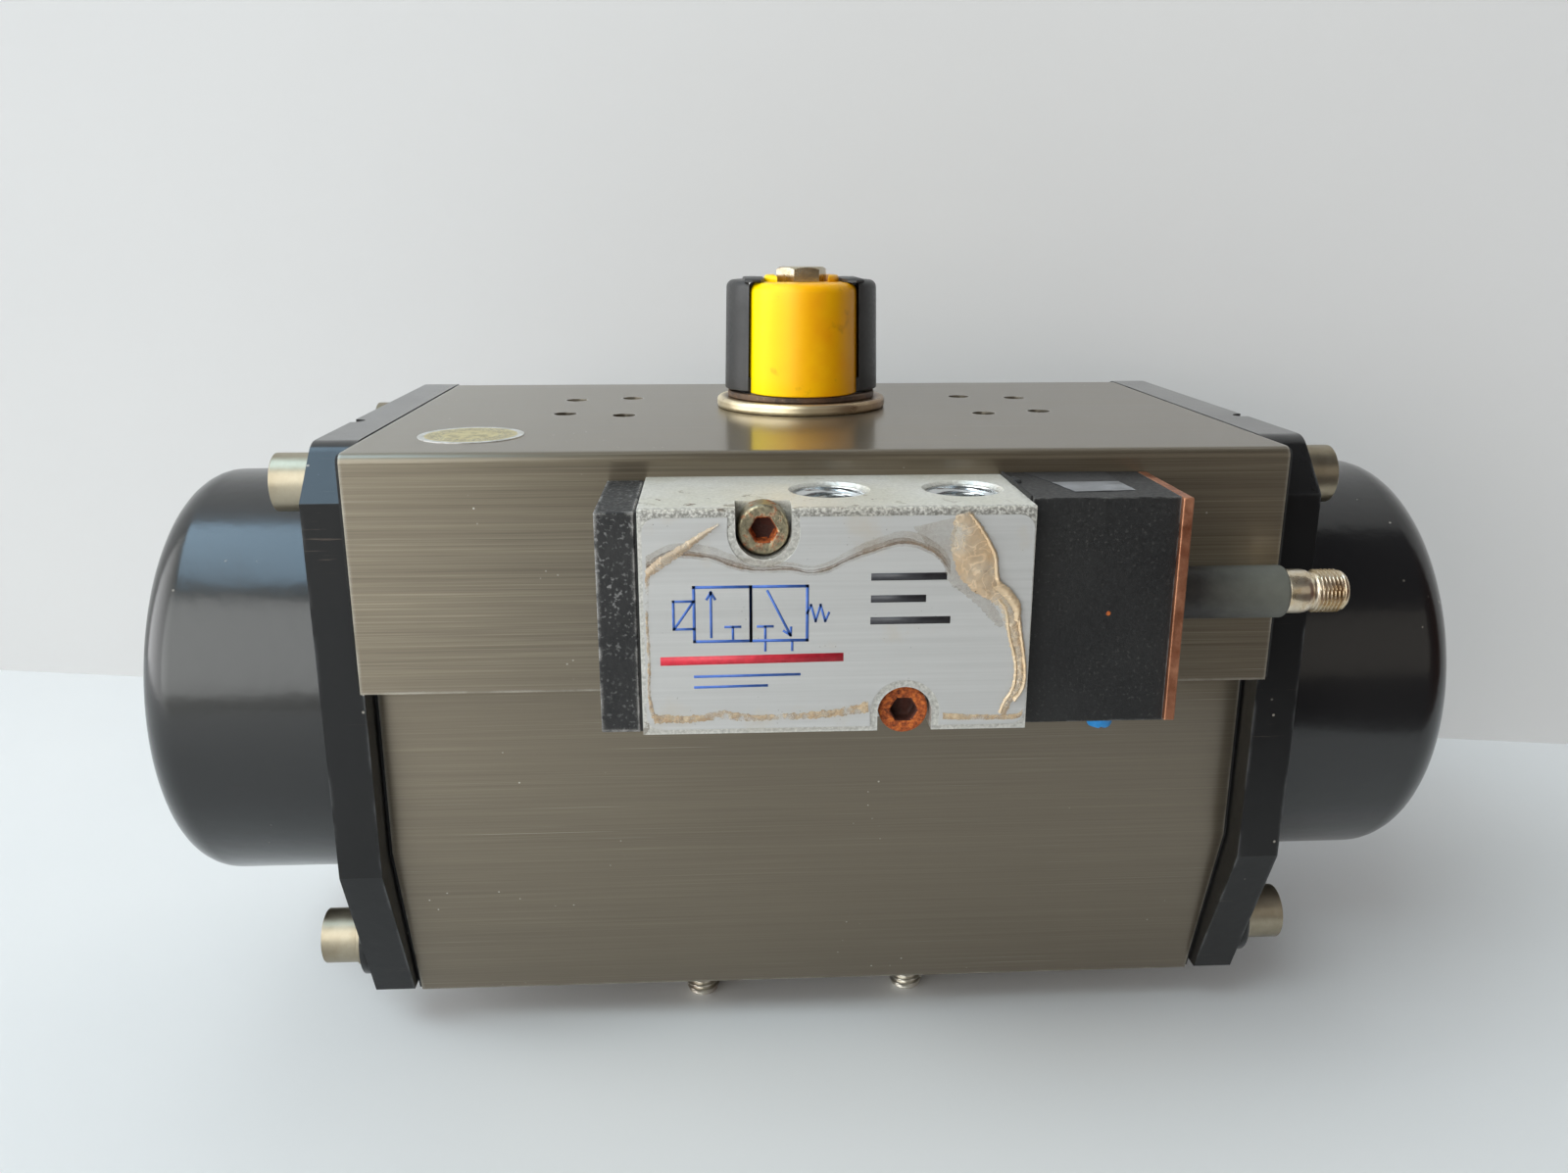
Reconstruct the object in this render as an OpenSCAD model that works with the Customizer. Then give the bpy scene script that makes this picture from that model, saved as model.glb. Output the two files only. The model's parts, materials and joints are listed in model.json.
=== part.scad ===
// Spring-return rack-and-pinion rotary actuator with a flange-mounted solenoid valve.
// Origin: pinion axis in the plane of the bottom mounting face.
// +X runs along the pistons, -Y is the valve side, +Z is up. Millimetres.
// Most cutters run 1 mm past the faces they open.

/* [Body extrusion] */
// Length of the body extrusion
body_len = 176; // [172:0.5:180]
// Height of the body, mounting face to top face
body_h = 126.5; // [126:0.1:128]
// Half width of the lower body
body_half_w = 53; // [52:0.5:56]
// Distance of the valve pad's face from the pinion axis
pad_y = 64; // [62:0.5:66]
// Height at which the valve pad begins
pad_z0 = 80.3; // [78:0.1:82]
// Radius of the cylinder bore
bore_r = 46; // [45.5:0.1:46.5]
// Height of the bore axis
axis_z = 64.45; // [63.5:0.05:64.5]

/* [End caps] */
// Thickness of the end cap's flange
flange_t = 8.6; // [7:0.1:11]
// Outer radius of the spring housing
drum_r = 47.5; // [47:0.1:49]
// Distance of the housing's closed end from the middle
drum_end = 140.8; // [138:0.2:144]
// Radius of the rounding at the closed end
drum_round = 8; // [5:0.5:12]
// Gasket thickness
gasket_t = 0.6; // [0.4:0.1:1]
// Sideways distance of the corner screws from the middle
corner_y = 39.2; // [38.6:0.1:39.6]
// Heights of the corner screws
corner_z = [14, 116.8];

/* [Rack and pinion] */
// Gear module
gear_module = 2; // [2:2]
// Number of teeth on the pinion
gear_teeth = 20; // [20:20]

/* [Interfaces] */
// Pitch circle of the bottom studs (F07)
stud_pcd = 70; // [70:70]
// Length of stud standing out of the mounting face
stud_out = 12; // [8:0.5:18]
// Across flats of the star drive socket
drive_flats = 17; // [14:17]
// Radius of the centring recess (F07)
spigot_r = 27.5; // [27.5:27.5]
// Depth of the centring recess
spigot_d = 3; // [3:3]
// Valve screw spacing along X (NAMUR)
namur_x = 24; // [24:24]
// Valve screw spacing along Z (NAMUR)
namur_z = 32; // [32:32]
// Height of the middle of the valve pattern
namur_mid_z = 102; // [101.5:0.1:102.5]

/* [Indicator] */
// Half length of the dark bar
ind_black_l = 17.25; // [16.5:0.25:18]
// Half length of the yellow bar
ind_yellow_l = 18; // [17:0.25:19]
// Half width of both bars
ind_w = 12; // [11.5:0.1:12.3]
// Top of the yellow bar
ind_top = 154.7; // [154:0.1:155.2]

/* [Valve] */
// Left end of the valve body
valve_x0 = -32.6; // [-33:0.1:-32]
// Right end of the valve body
valve_x1 = 33; // [32.6:0.1:33.4]
// Front face of the valve body
valve_y = 92.3; // [91:0.1:93]
// Underside of the valve body
valve_z0 = 82.8; // [82:0.1:83.5]
// Top of the valve body
valve_z1 = 121.9; // [121:0.1:123]
// Port thread radius (G 1/4)
port_r = 6.58; // [6.58:6.58]

/* [Hidden] */

half_len = body_len / 2;
cap_x = half_len + gasket_t;    // inner face of the end caps
flange_x = cap_x + flange_t;    // outer face of the flange
boss_h = 1.6;                   // screw bosses on the flange
washer_t = 1.4;                 // corner screw washers
seat_x = flange_x + boss_h + washer_t;  // underside of the corner screw heads
spring_end = drum_end - 6;      // inner face of the closed end
stud_at = stud_pcd / 2 * sin(45);
stop_x = 25;                    // travel stop screws
stop_z = 89;
air_x = 12;                     // air ports between valve and body
air_r = 4;
gallery_y = -52;                // air gallery to the spring chambers
gallery_r = 3;
spool_y = -76.8;
spool_z = 102.2;

// Colours shared by several nodes
cap_color = [0.10, 0.10, 0.11];
gasket_color = [0.07, 0.07, 0.07];
seal_color = [0.06, 0.06, 0.06];
bearing_color = [0.85, 0.83, 0.75];
guide_color = [0.80, 0.78, 0.70];
piston_color = [0.66, 0.67, 0.68];
seat_color = [0.50, 0.50, 0.52];
spring_color = [0.20, 0.25, 0.32];
wire_color = [0.70, 0.70, 0.70];
screw_color = [0.62, 0.62, 0.62];

// ---------- shapes: bars, tubes and rings on an axis, named for that axis
module bar_x(x0, x1, r, facets = 64)
    translate([x0, 0, 0]) rotate([0, 90, 0]) cylinder(r = r, h = x1 - x0, $fn = facets);
module bar_y(y0, y1, r, facets = 48)
    translate([0, y1, 0]) rotate([90, 0, 0]) cylinder(r = r, h = y1 - y0, $fn = facets);
module bar_z(z0, z1, r, facets = 64)
    translate([0, 0, z0]) cylinder(r = r, h = z1 - z0, $fn = facets);
module cone_x(x0, x1, r0, r1)
    translate([x0, 0, 0]) rotate([0, 90, 0]) cylinder(r1 = r0, r2 = r1, h = x1 - x0, $fn = 32);
module block(x0, x1, y0, y1, z0, z1)
    translate([x0, y0, z0]) cube([x1 - x0, y1 - y0, z1 - z0]);
module tube_x(x0, x1, inner, outer) difference() {
    bar_x(x0, x1, outer, 96);
    bar_x(x0 - 1, x1 + 1, inner, 96);
}
module tube_z(z0, z1, inner, outer) difference() {
    bar_z(z0, z1, outer, 96);
    bar_z(z0 - 1, z1 + 1, inner, 96);
}
module ring(mid_r, wire_r, facets = 96)
    rotate_extrude($fn = facets) translate([mid_r, 0]) circle(r = wire_r, $fn = 24);
module ring_x(x, mid_r, wire_r) translate([x, 0, 0]) rotate([0, 90, 0]) ring(mid_r, wire_r);
module ring_z(z, mid_r, wire_r) translate([0, 0, z]) ring(mid_r, wire_r);

// Outline drawn in YZ, swept along X
module extrude_x(outline, x0, x1)
    translate([x0, 0, 0]) rotate([90, 0, 90]) linear_extrude(height = x1 - x0) polygon(outline);

// Pair of blocks mirrored in the YZ or XZ plane, their near faces at +-gap; they cut flats
module flats_x(gap, size, z)
    for (s = [-1, 1]) translate([s * (gap + size[0] / 2), 0, z]) cube(size, center = true);
module flats_y(gap, size, z)
    for (s = [-1, 1]) translate([0, s * (gap + size[1] / 2), z]) cube(size, center = true);

// Coil spring along X: a round wire swept on a helix
module coil(coil_r, wire_r, x0, x1, turns, steps, sides) {
    n = turns * steps;
    points = [for (i = [0:n]) for (j = [0:sides - 1])
        let (a = 360 * i / steps, b = 360 * j / sides, r = coil_r + wire_r * cos(b))
        [x0 + wire_r + (x1 - x0 - 2 * wire_r) * i / n + wire_r * sin(b), r * cos(a), r * sin(a)]];
    skin = [for (i = [0:n - 1]) for (j = [0:sides - 1])
        let (k = (j + 1) % sides)
        [i * sides + j, (i + 1) * sides + j, (i + 1) * sides + k, i * sides + k]];
    start_face = [for (j = [0:sides - 1]) j];
    end_face = [for (j = [sides - 1:-1:0]) n * sides + j];
    polyhedron(points = points, faces = concat([start_face], skin, [end_face]), convexity = 10);
}

function hex_r(across_flats) = across_flats / 2 / cos(30);
function arc(x, y, r, from, to, steps) = [for (i = [0:steps])
    let (a = from + (to - from) * i / steps) [x + r * cos(a), y + r * sin(a)]];
function bezier(start, control, end, steps) = [for (i = [0:steps])
    let (t = i / steps) (1 - t) * (1 - t) * start + 2 * t * (1 - t) * control + t * t * end];
function stadium(half_l, r) = concat(
    arc(half_l - r, 0, r, -90, 90, 18),
    arc(-(half_l - r), 0, r, 90, 270, 18));
function rounded_rect(x0, x1, y0, y1, r) = concat(
    arc(x1 - r, y0 + r, r, -90, 0, 5),
    arc(x1 - r, y1 - r, r, 0, 90, 5),
    arc(x0 + r, y1 - r, r, 90, 180, 5),
    arc(x0 + r, y0 + r, r, 180, 270, 5));

// ---------- placement
module other_end() mirror([1, 0, 0]) children();
module both_ends() {
    children();
    other_end() children();
}
module turned() rotate([0, 0, 180]) children();
module on_bore() translate([0, 0, axis_z]) children();
module on_spool() translate([0, spool_y, spool_z]) children();
module on_gallery() translate([0, gallery_y, namur_mid_z]) children();
module at_corners() for (y = [-1, 1], z = corner_z) translate([0, y * corner_y, z]) children();
module at_studs()
    for (x = [-1, 1], y = [-1, 1]) translate([x * stud_at, y * stud_at, 0]) children();
module at_stops() for (x = [-stop_x, stop_x]) translate([x, 0, stop_z]) children();
module at_air_ports() for (x = [-air_x, air_x]) translate([x, 0, namur_mid_z]) children();
// The valve uses two screws of the pattern: upper left and lower right
module at_valve_screws()
    for (s = [-1, 1])
        translate([s * namur_x / 2, 0, namur_mid_z - s * namur_z / 2]) children();

// ---------- body
pad_round = 1.9;        // top edge of the valve pad
bottom_bore_r = 22.6;   // pinion bore below the chamber
bottom_seat_r = 25.5;   // bottom bearing seat
top_bore_r = 15.1;      // seal bore above the chamber
top_seat_r = 17.5;      // top bearing seat

// Body section, seen along X, drawn smaller by inset
function body_outline(inset = 0) = concat(
    [[-40 + inset, inset], [40 - inset, inset], [body_half_w - inset, 41],
        [body_half_w - inset, 118 - inset / 2], [44.5 - inset / 2, body_h - inset]],
    arc(-pad_y + pad_round, body_h - pad_round, pad_round - inset, 90, 180, 4),
    [[-pad_y + inset, pad_z0 + inset], [-body_half_w + inset, pad_z0 + inset],
        [-body_half_w + inset, 41]]);

module body() color([0.50, 0.47, 0.40]) difference() {
    extrude_x(body_outline(), -half_len, half_len);
    on_bore() bar_x(-half_len - 1, half_len + 1, bore_r, 128);
    // bottom: centring recess, bearing seat, pinion bore, stud holes
    bar_z(-1, spigot_d, spigot_r);
    bar_z(spigot_d - 0.1, 9.7, bottom_seat_r);
    bar_z(9.6, 40, bottom_bore_r);
    at_studs() bar_z(-1, 16, 3.4);
    // top: thrust face, seal bore, bearing seat
    bar_z(axis_z, 110.5, 21);
    bar_z(110, 116.1, top_bore_r);
    bar_z(116, body_h + 1, top_seat_r);
    // accessory holes in the top face: [x, y, depth]
    for (hole = [[40, 15, 10], [53.2, 12, 9]], x = [-1, 1], y = [-1, 1])
        translate([x * hole[0], y * hole[1], 0]) bar_z(body_h - hole[2], body_h + 1, 2.5, 32);
    both_ends() at_corners() bar_x(half_len - 26, half_len + 1, 3.3, 32);
    // valve pad: screw holes, air to the middle of the bore, air to the gallery
    for (x = [-1, 1], z = [-1, 1])
        translate([x * namur_x / 2, 0, namur_mid_z + z * namur_z / 2])
            bar_y(-pad_y - 1, -54, 2.5, 32);
    translate([-air_x, 0, namur_mid_z]) bar_y(-pad_y - 1, 0, air_r);
    translate([air_x, 0, namur_mid_z]) bar_y(-pad_y - 1, gallery_y, air_r);
    on_gallery() bar_x(-half_len - 1, half_len + 1, gallery_r, 32);
    // travel stop screws in the rear wall
    at_stops() bar_y(0, body_half_w + 1, 4);
}

// ---------- end caps
corner_clear_r = 4.3;
slot_r = 38;            // the air slot starts here, measured from the bore axis
slot_half_w = 3;

// Right half of the flange section, [y, z] from its widest point up to the top
flange_side = concat([[59.5, 39], [59.5, 116.5]],
    bezier([51.1, 124.75], [49.3, body_h], [46.8, body_h], 4));
flange_outline = concat([[-43.5, 2.5], [43.5, 2.5]], flange_side,
    [for (i = [len(flange_side) - 1:-1:0]) [-flange_side[i][0], flange_side[i][1]]]);
// Spring housing, [radius, distance from the middle]
drum_profile = concat([[0, cap_x + 1], [drum_r, cap_x + 1]],
    arc(drum_r - drum_round, drum_end - 1.2 - drum_round, drum_round, 0, 84, 8),
    [[24, drum_end - 0.3], [0, drum_end]]);

// Air slot from the gallery to the spring chamber
module air_slot() {
    rise = namur_mid_z - axis_z;
    translate([cap_x - 1, 0, axis_z]) rotate([atan2(rise, gallery_y), 0, 0])
        translate([0, slot_r, -slot_half_w])
            cube([5, norm([gallery_y, rise]) - slot_r + slot_half_w, 2 * slot_half_w]);
}
module end_cap() color(cap_color) difference() {
    union() {
        extrude_x(flange_outline, cap_x, flange_x);
        on_bore() rotate([0, 90, 0]) rotate_extrude($fn = 128) polygon(drum_profile);
        at_corners() bar_x(flange_x - 1, flange_x + boss_h, 8.5);
    }
    on_bore() bar_x(cap_x - 1, spring_end, 42, 128);
    at_corners() bar_x(cap_x - 1, flange_x + 4, corner_clear_r);
    // casting notch in the outer top edge
    translate([flange_x - 0.4, -20.6, 0]) bar_z(body_h - 1.2, body_h + 1, 2.1, 24);
    air_slot();
}
module end_cap_right() end_cap();
module end_cap_left() other_end() end_cap();

module end_cap_gasket() color(gasket_color) difference() {
    extrude_x(body_outline(0.4), half_len, cap_x);
    on_bore() bar_x(half_len - 1, cap_x + 1, bore_r, 128);
    at_corners() bar_x(half_len - 1, cap_x + 1, corner_clear_r);
    on_gallery() bar_x(half_len - 1, cap_x + 1, gallery_r, 32);
}
module end_cap_gasket_right() end_cap_gasket();
module end_cap_gasket_left() other_end() end_cap_gasket();

// Socket head screws: head, shank, thread
module end_cap_screws() color([0.62, 0.59, 0.52]) both_ends() at_corners() difference() {
    union() {
        bar_x(seat_x, seat_x + 7.5, 5.95);
        bar_x(half_len + 0.05, seat_x + 0.5, 3.95);
        bar_x(half_len - 22, half_len + 1, 3.28);
    }
    bar_x(seat_x + 3.9, seat_x + 9, hex_r(6.35), 6);
}
module end_cap_washers() color([0.62, 0.60, 0.55])
    both_ends() at_corners() tube_x(seat_x - washer_t, seat_x, 4.15, 6.6);

// ---------- pinion: involute teeth, journals, star socket, slotted stub
pitch_r = gear_module * gear_teeth / 2;
base_r = pitch_r * cos(20);             // 20 degree pressure angle
tip_r = pitch_r + gear_module;
root_r = pitch_r - 1.25 * gear_module;
rack_pitch = PI * gear_module;
tooth_thinning = 0.12;                  // taken off the tooth thickness for backlash

bottom_journal_r = 22.5;
top_journal_r = 15;
bottom_groove = [10.4, 14.2];           // O-ring grooves: lower and upper face
bottom_groove_r = 19.9;
top_groove = [111.4, 114.9];
top_groove_r = 12.9;
snap_groove = [129.02, 130.38];
snap_groove_r = 13.6;
cam_journal_r = 16.5;
cam_flat = 14.5;                        // distance of the cam flats from the axis
stub_r = 9;
stub_flat = 7;
stub_top = 146.5;

// Angle the involute has turned at radius r, and half the tooth's angle there
function involute_angle(r) = tan(acos(base_r / r)) * 180 / PI - acos(base_r / r);
base_half_angle = (PI * gear_module / 2 - tooth_thinning) / 2 / pitch_r * 180 / PI
    + involute_angle(pitch_r);
function half_angle(r) = base_half_angle - involute_angle(r);
flank_radii = [for (i = [0:6]) base_r + (tip_r - base_r) * i / 6];
// One tooth about angle mid, as [radius, angle]
function tooth(mid) = concat(
    [[root_r, mid - base_half_angle]],
    [for (r = flank_radii) [r, mid - half_angle(r)]],
    [for (i = [6:-1:0]) [flank_radii[i], mid + half_angle(flank_radii[i])]],
    [[root_r, mid + base_half_angle]]);
gear_outline = [for (k = [0:gear_teeth - 1]) for (p = tooth(360 * k / gear_teeth))
    [p[0] * cos(p[1]), p[0] * sin(p[1])]];

// Turned shape of the pinion, [radius, z]
pinion_profile = [
    [0, 3.2], [bottom_journal_r, 3.2],
    [bottom_journal_r, bottom_groove[0]], [bottom_groove_r, bottom_groove[0]],
    [bottom_groove_r, bottom_groove[1]], [bottom_journal_r, bottom_groove[1]],
    [bottom_journal_r, 17.5], [17.2, 20], [17.2, 60],
    [cam_journal_r, 78], [cam_journal_r, 108.3], [top_journal_r, 108.3],
    [top_journal_r, top_groove[0]], [top_groove_r, top_groove[0]],
    [top_groove_r, top_groove[1]], [top_journal_r, top_groove[1]],
    [top_journal_r, snap_groove[0]], [snap_groove_r, snap_groove[0]],
    [snap_groove_r, snap_groove[1]], [top_journal_r, snap_groove[1]],
    [top_journal_r, 130.42], [stub_r, 130.42], [stub_r, stub_top], [0, stub_top]];

module pinion() color([0.60, 0.60, 0.62]) difference() {
    union() {
        rotate_extrude($fn = 96) polygon(pinion_profile);
        translate([0, 0, 46]) linear_extrude(height = 34) polygon(gear_outline);
    }
    // star socket for the driven shaft
    for (a = [0, 45]) rotate([0, 0, a])
        block(-drive_flats / 2, drive_flats / 2, -drive_flats / 2, drive_flats / 2, 2, 24);
    // indicator stub: two flats and a tapped hole
    flats_y(stub_flat, [30, 10, 20], 140.5);
    bar_z(132, 147, 3, 32);
    // two flats that key the travel stop cam
    flats_x(cam_flat, [10, 40, 28.4], 94.2);
}
module pinion_bottom_bearing() color(bearing_color)
    tube_z(3.4, 9.6, bottom_journal_r + 0.06, bottom_seat_r - 0.05);
module pinion_top_bearing() color(bearing_color)
    tube_z(116.2, body_h - 0.1, top_journal_r + 0.06, top_seat_r - 0.05);
// The O-rings sit midway between groove floor and bore
module pinion_bottom_oring() color(seal_color)
    ring_z((bottom_groove[0] + bottom_groove[1]) / 2, (bottom_groove_r + bottom_bore_r) / 2, 1.3);
module pinion_top_oring() color(seal_color)
    ring_z((top_groove[0] + top_groove[1]) / 2, (top_groove_r + top_bore_r) / 2, 1.05);
module thrust_washer() color(bearing_color) tube_z(108.4, 110.4, top_journal_r + 0.1, 19.9);
module top_washer() color([0.70, 0.68, 0.62]) tube_z(body_h, 129, top_journal_r + 0.1, 19.4);
module snap_ring() color([0.55, 0.55, 0.56]) difference() {
    tube_z(snap_groove[0] + 0.04, snap_groove[1] - 0.04, snap_groove_r + 0.06, 16.9);
    block(-3.5, 3.5, 8, 20, 128, 131);
}

// ---------- travel stop
seal_y = 55;            // outer face of the stop seals, where the nuts sit

// Hub keyed on the pinion's flats, with one quarter lobe
module stop_cam() color([0.45, 0.45, 0.47]) difference() {
    union() {
        bar_z(80.2, 108.2, 19.3);
        intersection() {
            bar_z(84, 94, 31);
            block(-40, 4, -40, 4, 80, 100);
        }
    }
    difference() {
        bar_z(79, 109, cam_journal_r + 0.05);
        flats_x(cam_flat + 0.05, [10, 40, 40], 94);
    }
}
module stop_screws() color(screw_color) at_stops() difference() {
    bar_y(4.08, 68, 3.98);
    bar_y(63.5, 69, hex_r(4), 6);
}
module stop_seals() color(gasket_color) at_stops() difference() {
    bar_y(body_half_w, seal_y, 7);
    bar_y(body_half_w - 1, seal_y + 1, 4.05);
}
module stop_nuts() color(screw_color) at_stops() difference() {
    bar_y(seal_y, 61.5, hex_r(13), 6);
    bar_y(seal_y - 1, 63, 4.02);
}

// ---------- pistons: the left one, with its rack on the +Y side of the pinion
head_inner = 39.5;          // inner face of a piston head at rest
head_outer = 56.5;          // outer face of a piston head at rest
rack_z0 = 46.5;             // underside of the racks
rack_h = 33;
guide_groove = [-55.6, -49.4];
guide_groove_r = 43.5;
seal_groove = [-47.4, -41.8];
guide_r = bore_r - 0.06;    // outside of the guide ring and back pad
pad_l = 34;
pad_groove_r = 43;

module rack_teeth() translate([0, 0, rack_z0]) linear_extrude(height = rack_h)
    for (i = [-3:5]) translate([(i + 0.5) * rack_pitch, 0])
        polygon([[-0.79, pitch_r - gear_module], [0.79, pitch_r - gear_module],
            [2.6, pitch_r + 2.97], [-2.6, pitch_r + 2.97]]);
// Curved pad on the back of the rack, its ends and edges drawn in by gap
module pad_shape(gap, inner, outer) intersection() {
    on_bore() tube_x(gap, pad_l - gap, inner, outer);
    block(-1, pad_l + 1, 30, 60, 55 + gap, 71.5 - gap);
}
module piston() color(piston_color) difference() {
    union() {
        on_bore() bar_x(-head_outer, -head_inner, 45.7, 128);
        intersection() {
            block(-head_inner - 1, 38.5, pitch_r + 2.6, 60, rack_z0, rack_z0 + rack_h);
            on_bore() bar_x(-head_inner - 2, 39, 45.3, 128);
        }
        rack_teeth();
    }
    on_bore() {
        tube_x(guide_groove[0], guide_groove[1], guide_groove_r, 50);
        tube_x(seal_groove[0], seal_groove[1], 41.2, 50);
        // spring seat recess
        bar_x(-head_outer - 1, -53.5, 39.5, 96);
    }
    pad_shape(0, pad_groove_r, 50);
}
module piston_left() piston();
module piston_right() turned() piston();
module piston_oring() color(seal_color)
    on_bore() ring_x((seal_groove[0] + seal_groove[1]) / 2, 43.65, 2.3);
module piston_oring_left() piston_oring();
module piston_oring_right() turned() piston_oring();
module guide_ring() color(guide_color) on_bore()
    tube_x(guide_groove[0] + 0.1, guide_groove[1] - 0.1, guide_groove_r + 0.03, guide_r);
module piston_guide_ring_left() guide_ring();
module piston_guide_ring_right() turned() guide_ring();
module piston_pad() color(guide_color) pad_shape(0.1, pad_groove_r + 0.03, guide_r);
module piston_pad_left() piston_pad();
module piston_pad_right() turned() piston_pad();

// ---------- return springs and their seats
module spring_seat() color(seat_color) on_bore() difference() {
    union() {
        bar_x(-head_outer + 0.1, -53.55, 39.3, 96);
        bar_x(-head_outer - 4, -head_outer + 1, 20.2, 96);
    }
    bar_x(-head_outer - 6, -53, 16);
}
module spring_seat_left() spring_seat();
module spring_seat_right() turned() spring_seat();
module return_spring(coil_r, wire_r, turns, steps, sides) color(spring_color) on_bore()
    coil(coil_r, wire_r, -spring_end + 0.1, -head_outer + 0.02, turns, steps, sides);
module spring_outer_left()
    return_spring(coil_r = 33.5, wire_r = 3.4, turns = 5, steps = 20, sides = 8);
module spring_outer_right() turned() spring_outer_left();
module spring_inner_left()
    return_spring(coil_r = 24, wire_r = 2.6, turns = 6.5, steps = 18, sides = 6);
module spring_inner_right() turned() spring_inner_left();

// ---------- position indicator: a dark bar along X crossed by a yellow one along Y
ind_z0 = 130.5;         // underside of the dark bar
link_half_w = 9.3;      // low link that joins the dark bar's two ends

// Hole that fits over the pinion's stub
module stub_hole(top) intersection() {
    bar_z(129, top, stub_r + 0.1);
    block(-20, 20, -stub_flat - 0.1, stub_flat + 0.1, 129, top);
}
module indicator_cap() color([0.16, 0.16, 0.16]) difference() {
    union() {
        difference() {
            translate([0, 0, ind_z0]) linear_extrude(height = ind_top + 0.4 - ind_z0)
                polygon(stadium(ind_black_l, ind_w));
            block(-ind_w - 0.05, ind_w + 0.05, -30, 30, 129, 160);
        }
        block(-ind_w - 0.6, ind_w + 0.6, -link_half_w, link_half_w, ind_z0, 133.9);
    }
    stub_hole(140);
}
module indicator_pointer() color([0.95, 0.75, 0.05]) difference() {
    union() {
        rotate([0, 0, 90]) translate([0, 0, ind_z0 - 0.05])
            linear_extrude(height = ind_top - ind_z0 + 0.05)
                polygon(stadium(ind_yellow_l, ind_w));
        // two ears beside the bolt head
        difference() {
            bar_z(ind_top - 1, ind_top + 1.6, 8.4);
            block(-5.7, 5.7, -20, 20, ind_top - 0.5, 160);
        }
    }
    block(-30, 30, -link_half_w - 0.05, link_half_w + 0.05, 129, 134);
    stub_hole(stub_top + 0.1);
    bar_z(146, 160, 3.3, 32);
    bar_z(ind_top - 0.1, 160, 6.4);
}
module indicator_bolt() color([0.55, 0.54, 0.52]) {
    rotate([0, 0, 10]) bar_z(ind_top - 0.1, ind_top + 3.2, hex_r(10), 6);
    bar_z(134.5, ind_top, 2.98, 32);
}
module mounting_studs() color([0.62, 0.62, 0.60]) at_studs() {
    bar_z(-stud_out, 0, 4, 48);
    bar_z(-1, 14, 3.38, 48);
}

// ---------- valve body and its left end
cover_screw_at = [[-70.5, 87.5], [-84.9, 117.3]];   // [y, z], the same at both ends
cover_screw_r = 1.48;
cover_tap_r = 1.5;
cover_clear_r = 1.6;
valve_gasket_t = 0.4;
spool_bore_r = 6.5;
pocket_y = -85.9;       // floor of the valve screw pockets

module at_cover_screws() for (p = cover_screw_at) translate([0, p[0], p[1]]) children();
// Round cut about each valve screw, with a slot out past the nearer edge of the valve
module screw_pockets(r, slot_half_w, y0, y1, past) {
    at_valve_screws() bar_y(y0, y1, r);
    for (s = [-1, 1])
        block(s * namur_x / 2 - slot_half_w, s * namur_x / 2 + slot_half_w, y0, y1,
            s < 0 ? namur_mid_z + namur_z / 2 : valve_z0 - past,
            s < 0 ? valve_z1 + past : namur_mid_z - namur_z / 2);
}
module valve_body() color([0.70, 0.70, 0.70]) difference() {
    block(valve_x0, valve_x1, -valve_y, -pad_y, valve_z0, valve_z1);
    on_spool() bar_x(valve_x0 - 1, valve_x1 + 1, spool_bore_r);
    // air ports with their seal grooves
    at_air_ports() {
        bar_y(spool_y, -pad_y + 1, air_r);
        difference() {
            bar_y(-pad_y - 1.6, -pad_y + 1, 6.6);
            bar_y(-pad_y - 2, -pad_y + 2, 4.7);
        }
    }
    at_valve_screws() bar_y(-valve_y - 1, -pad_y + 1, 2.75);
    screw_pockets(4.65, 4.65, -valve_y - 1, pocket_y, 1);
    // threaded ports in the top face
    for (x = [0, 23.5]) translate([x, -77, 0]) {
        bar_z(110.9, valve_z1 + 1, port_r);
        bar_z(spool_z, 111, 3.5);
        translate([0, 0, valve_z1 - 0.6]) cylinder(r1 = port_r, r2 = port_r + 0.7, h = 0.7, $fn = 64);
    }
    at_cover_screws() {
        bar_x(valve_x0 - 1, valve_x0 + 8, cover_tap_r, 24);
        bar_x(26.5, valve_x1 + 1, cover_tap_r, 24);
    }
}
module valve_end_gasket() color(gasket_color) difference() {
    block(valve_x0 - valve_gasket_t, valve_x0, -valve_y + 0.3, -65, valve_z0 + 0.6, valve_z1 - 0.5);
    on_spool() bar_x(valve_x0 - 1, valve_x0 + 1, spool_bore_r);
    at_cover_screws() bar_x(valve_x0 - 1, valve_x0 + 1, cover_clear_r, 24);
}
module valve_end_cap() color([0.12, 0.12, 0.12]) difference() {
    block(-39.6, valve_x0 - valve_gasket_t, -valve_y + 0.1, -65, 83.3, 121.5);
    on_spool() bar_x(-38.6, valve_x0 + 1, 5.2);
    at_cover_screws() {
        bar_x(-41, valve_x0 + 1, cover_clear_r, 24);
        bar_x(-41, -37.4, 3, 32);
    }
}
module valve_cap_screws() color(screw_color) at_cover_screws() difference() {
    union() {
        bar_x(-39.4, -37.4, 2.75, 32);
        bar_x(-38, -25.5, cover_screw_r, 24);
    }
    bar_x(-40, -38.3, hex_r(2), 6);
}

// ---------- pilot and solenoid, on the valve's right end
pilot_x0 = valve_x1 + valve_gasket_t;
pilot_x1 = 58.7;
pilot_air_r = 1.5;
countersink_x = 59.2;   // narrow end of the screw countersinks
override_x = 51;

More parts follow.
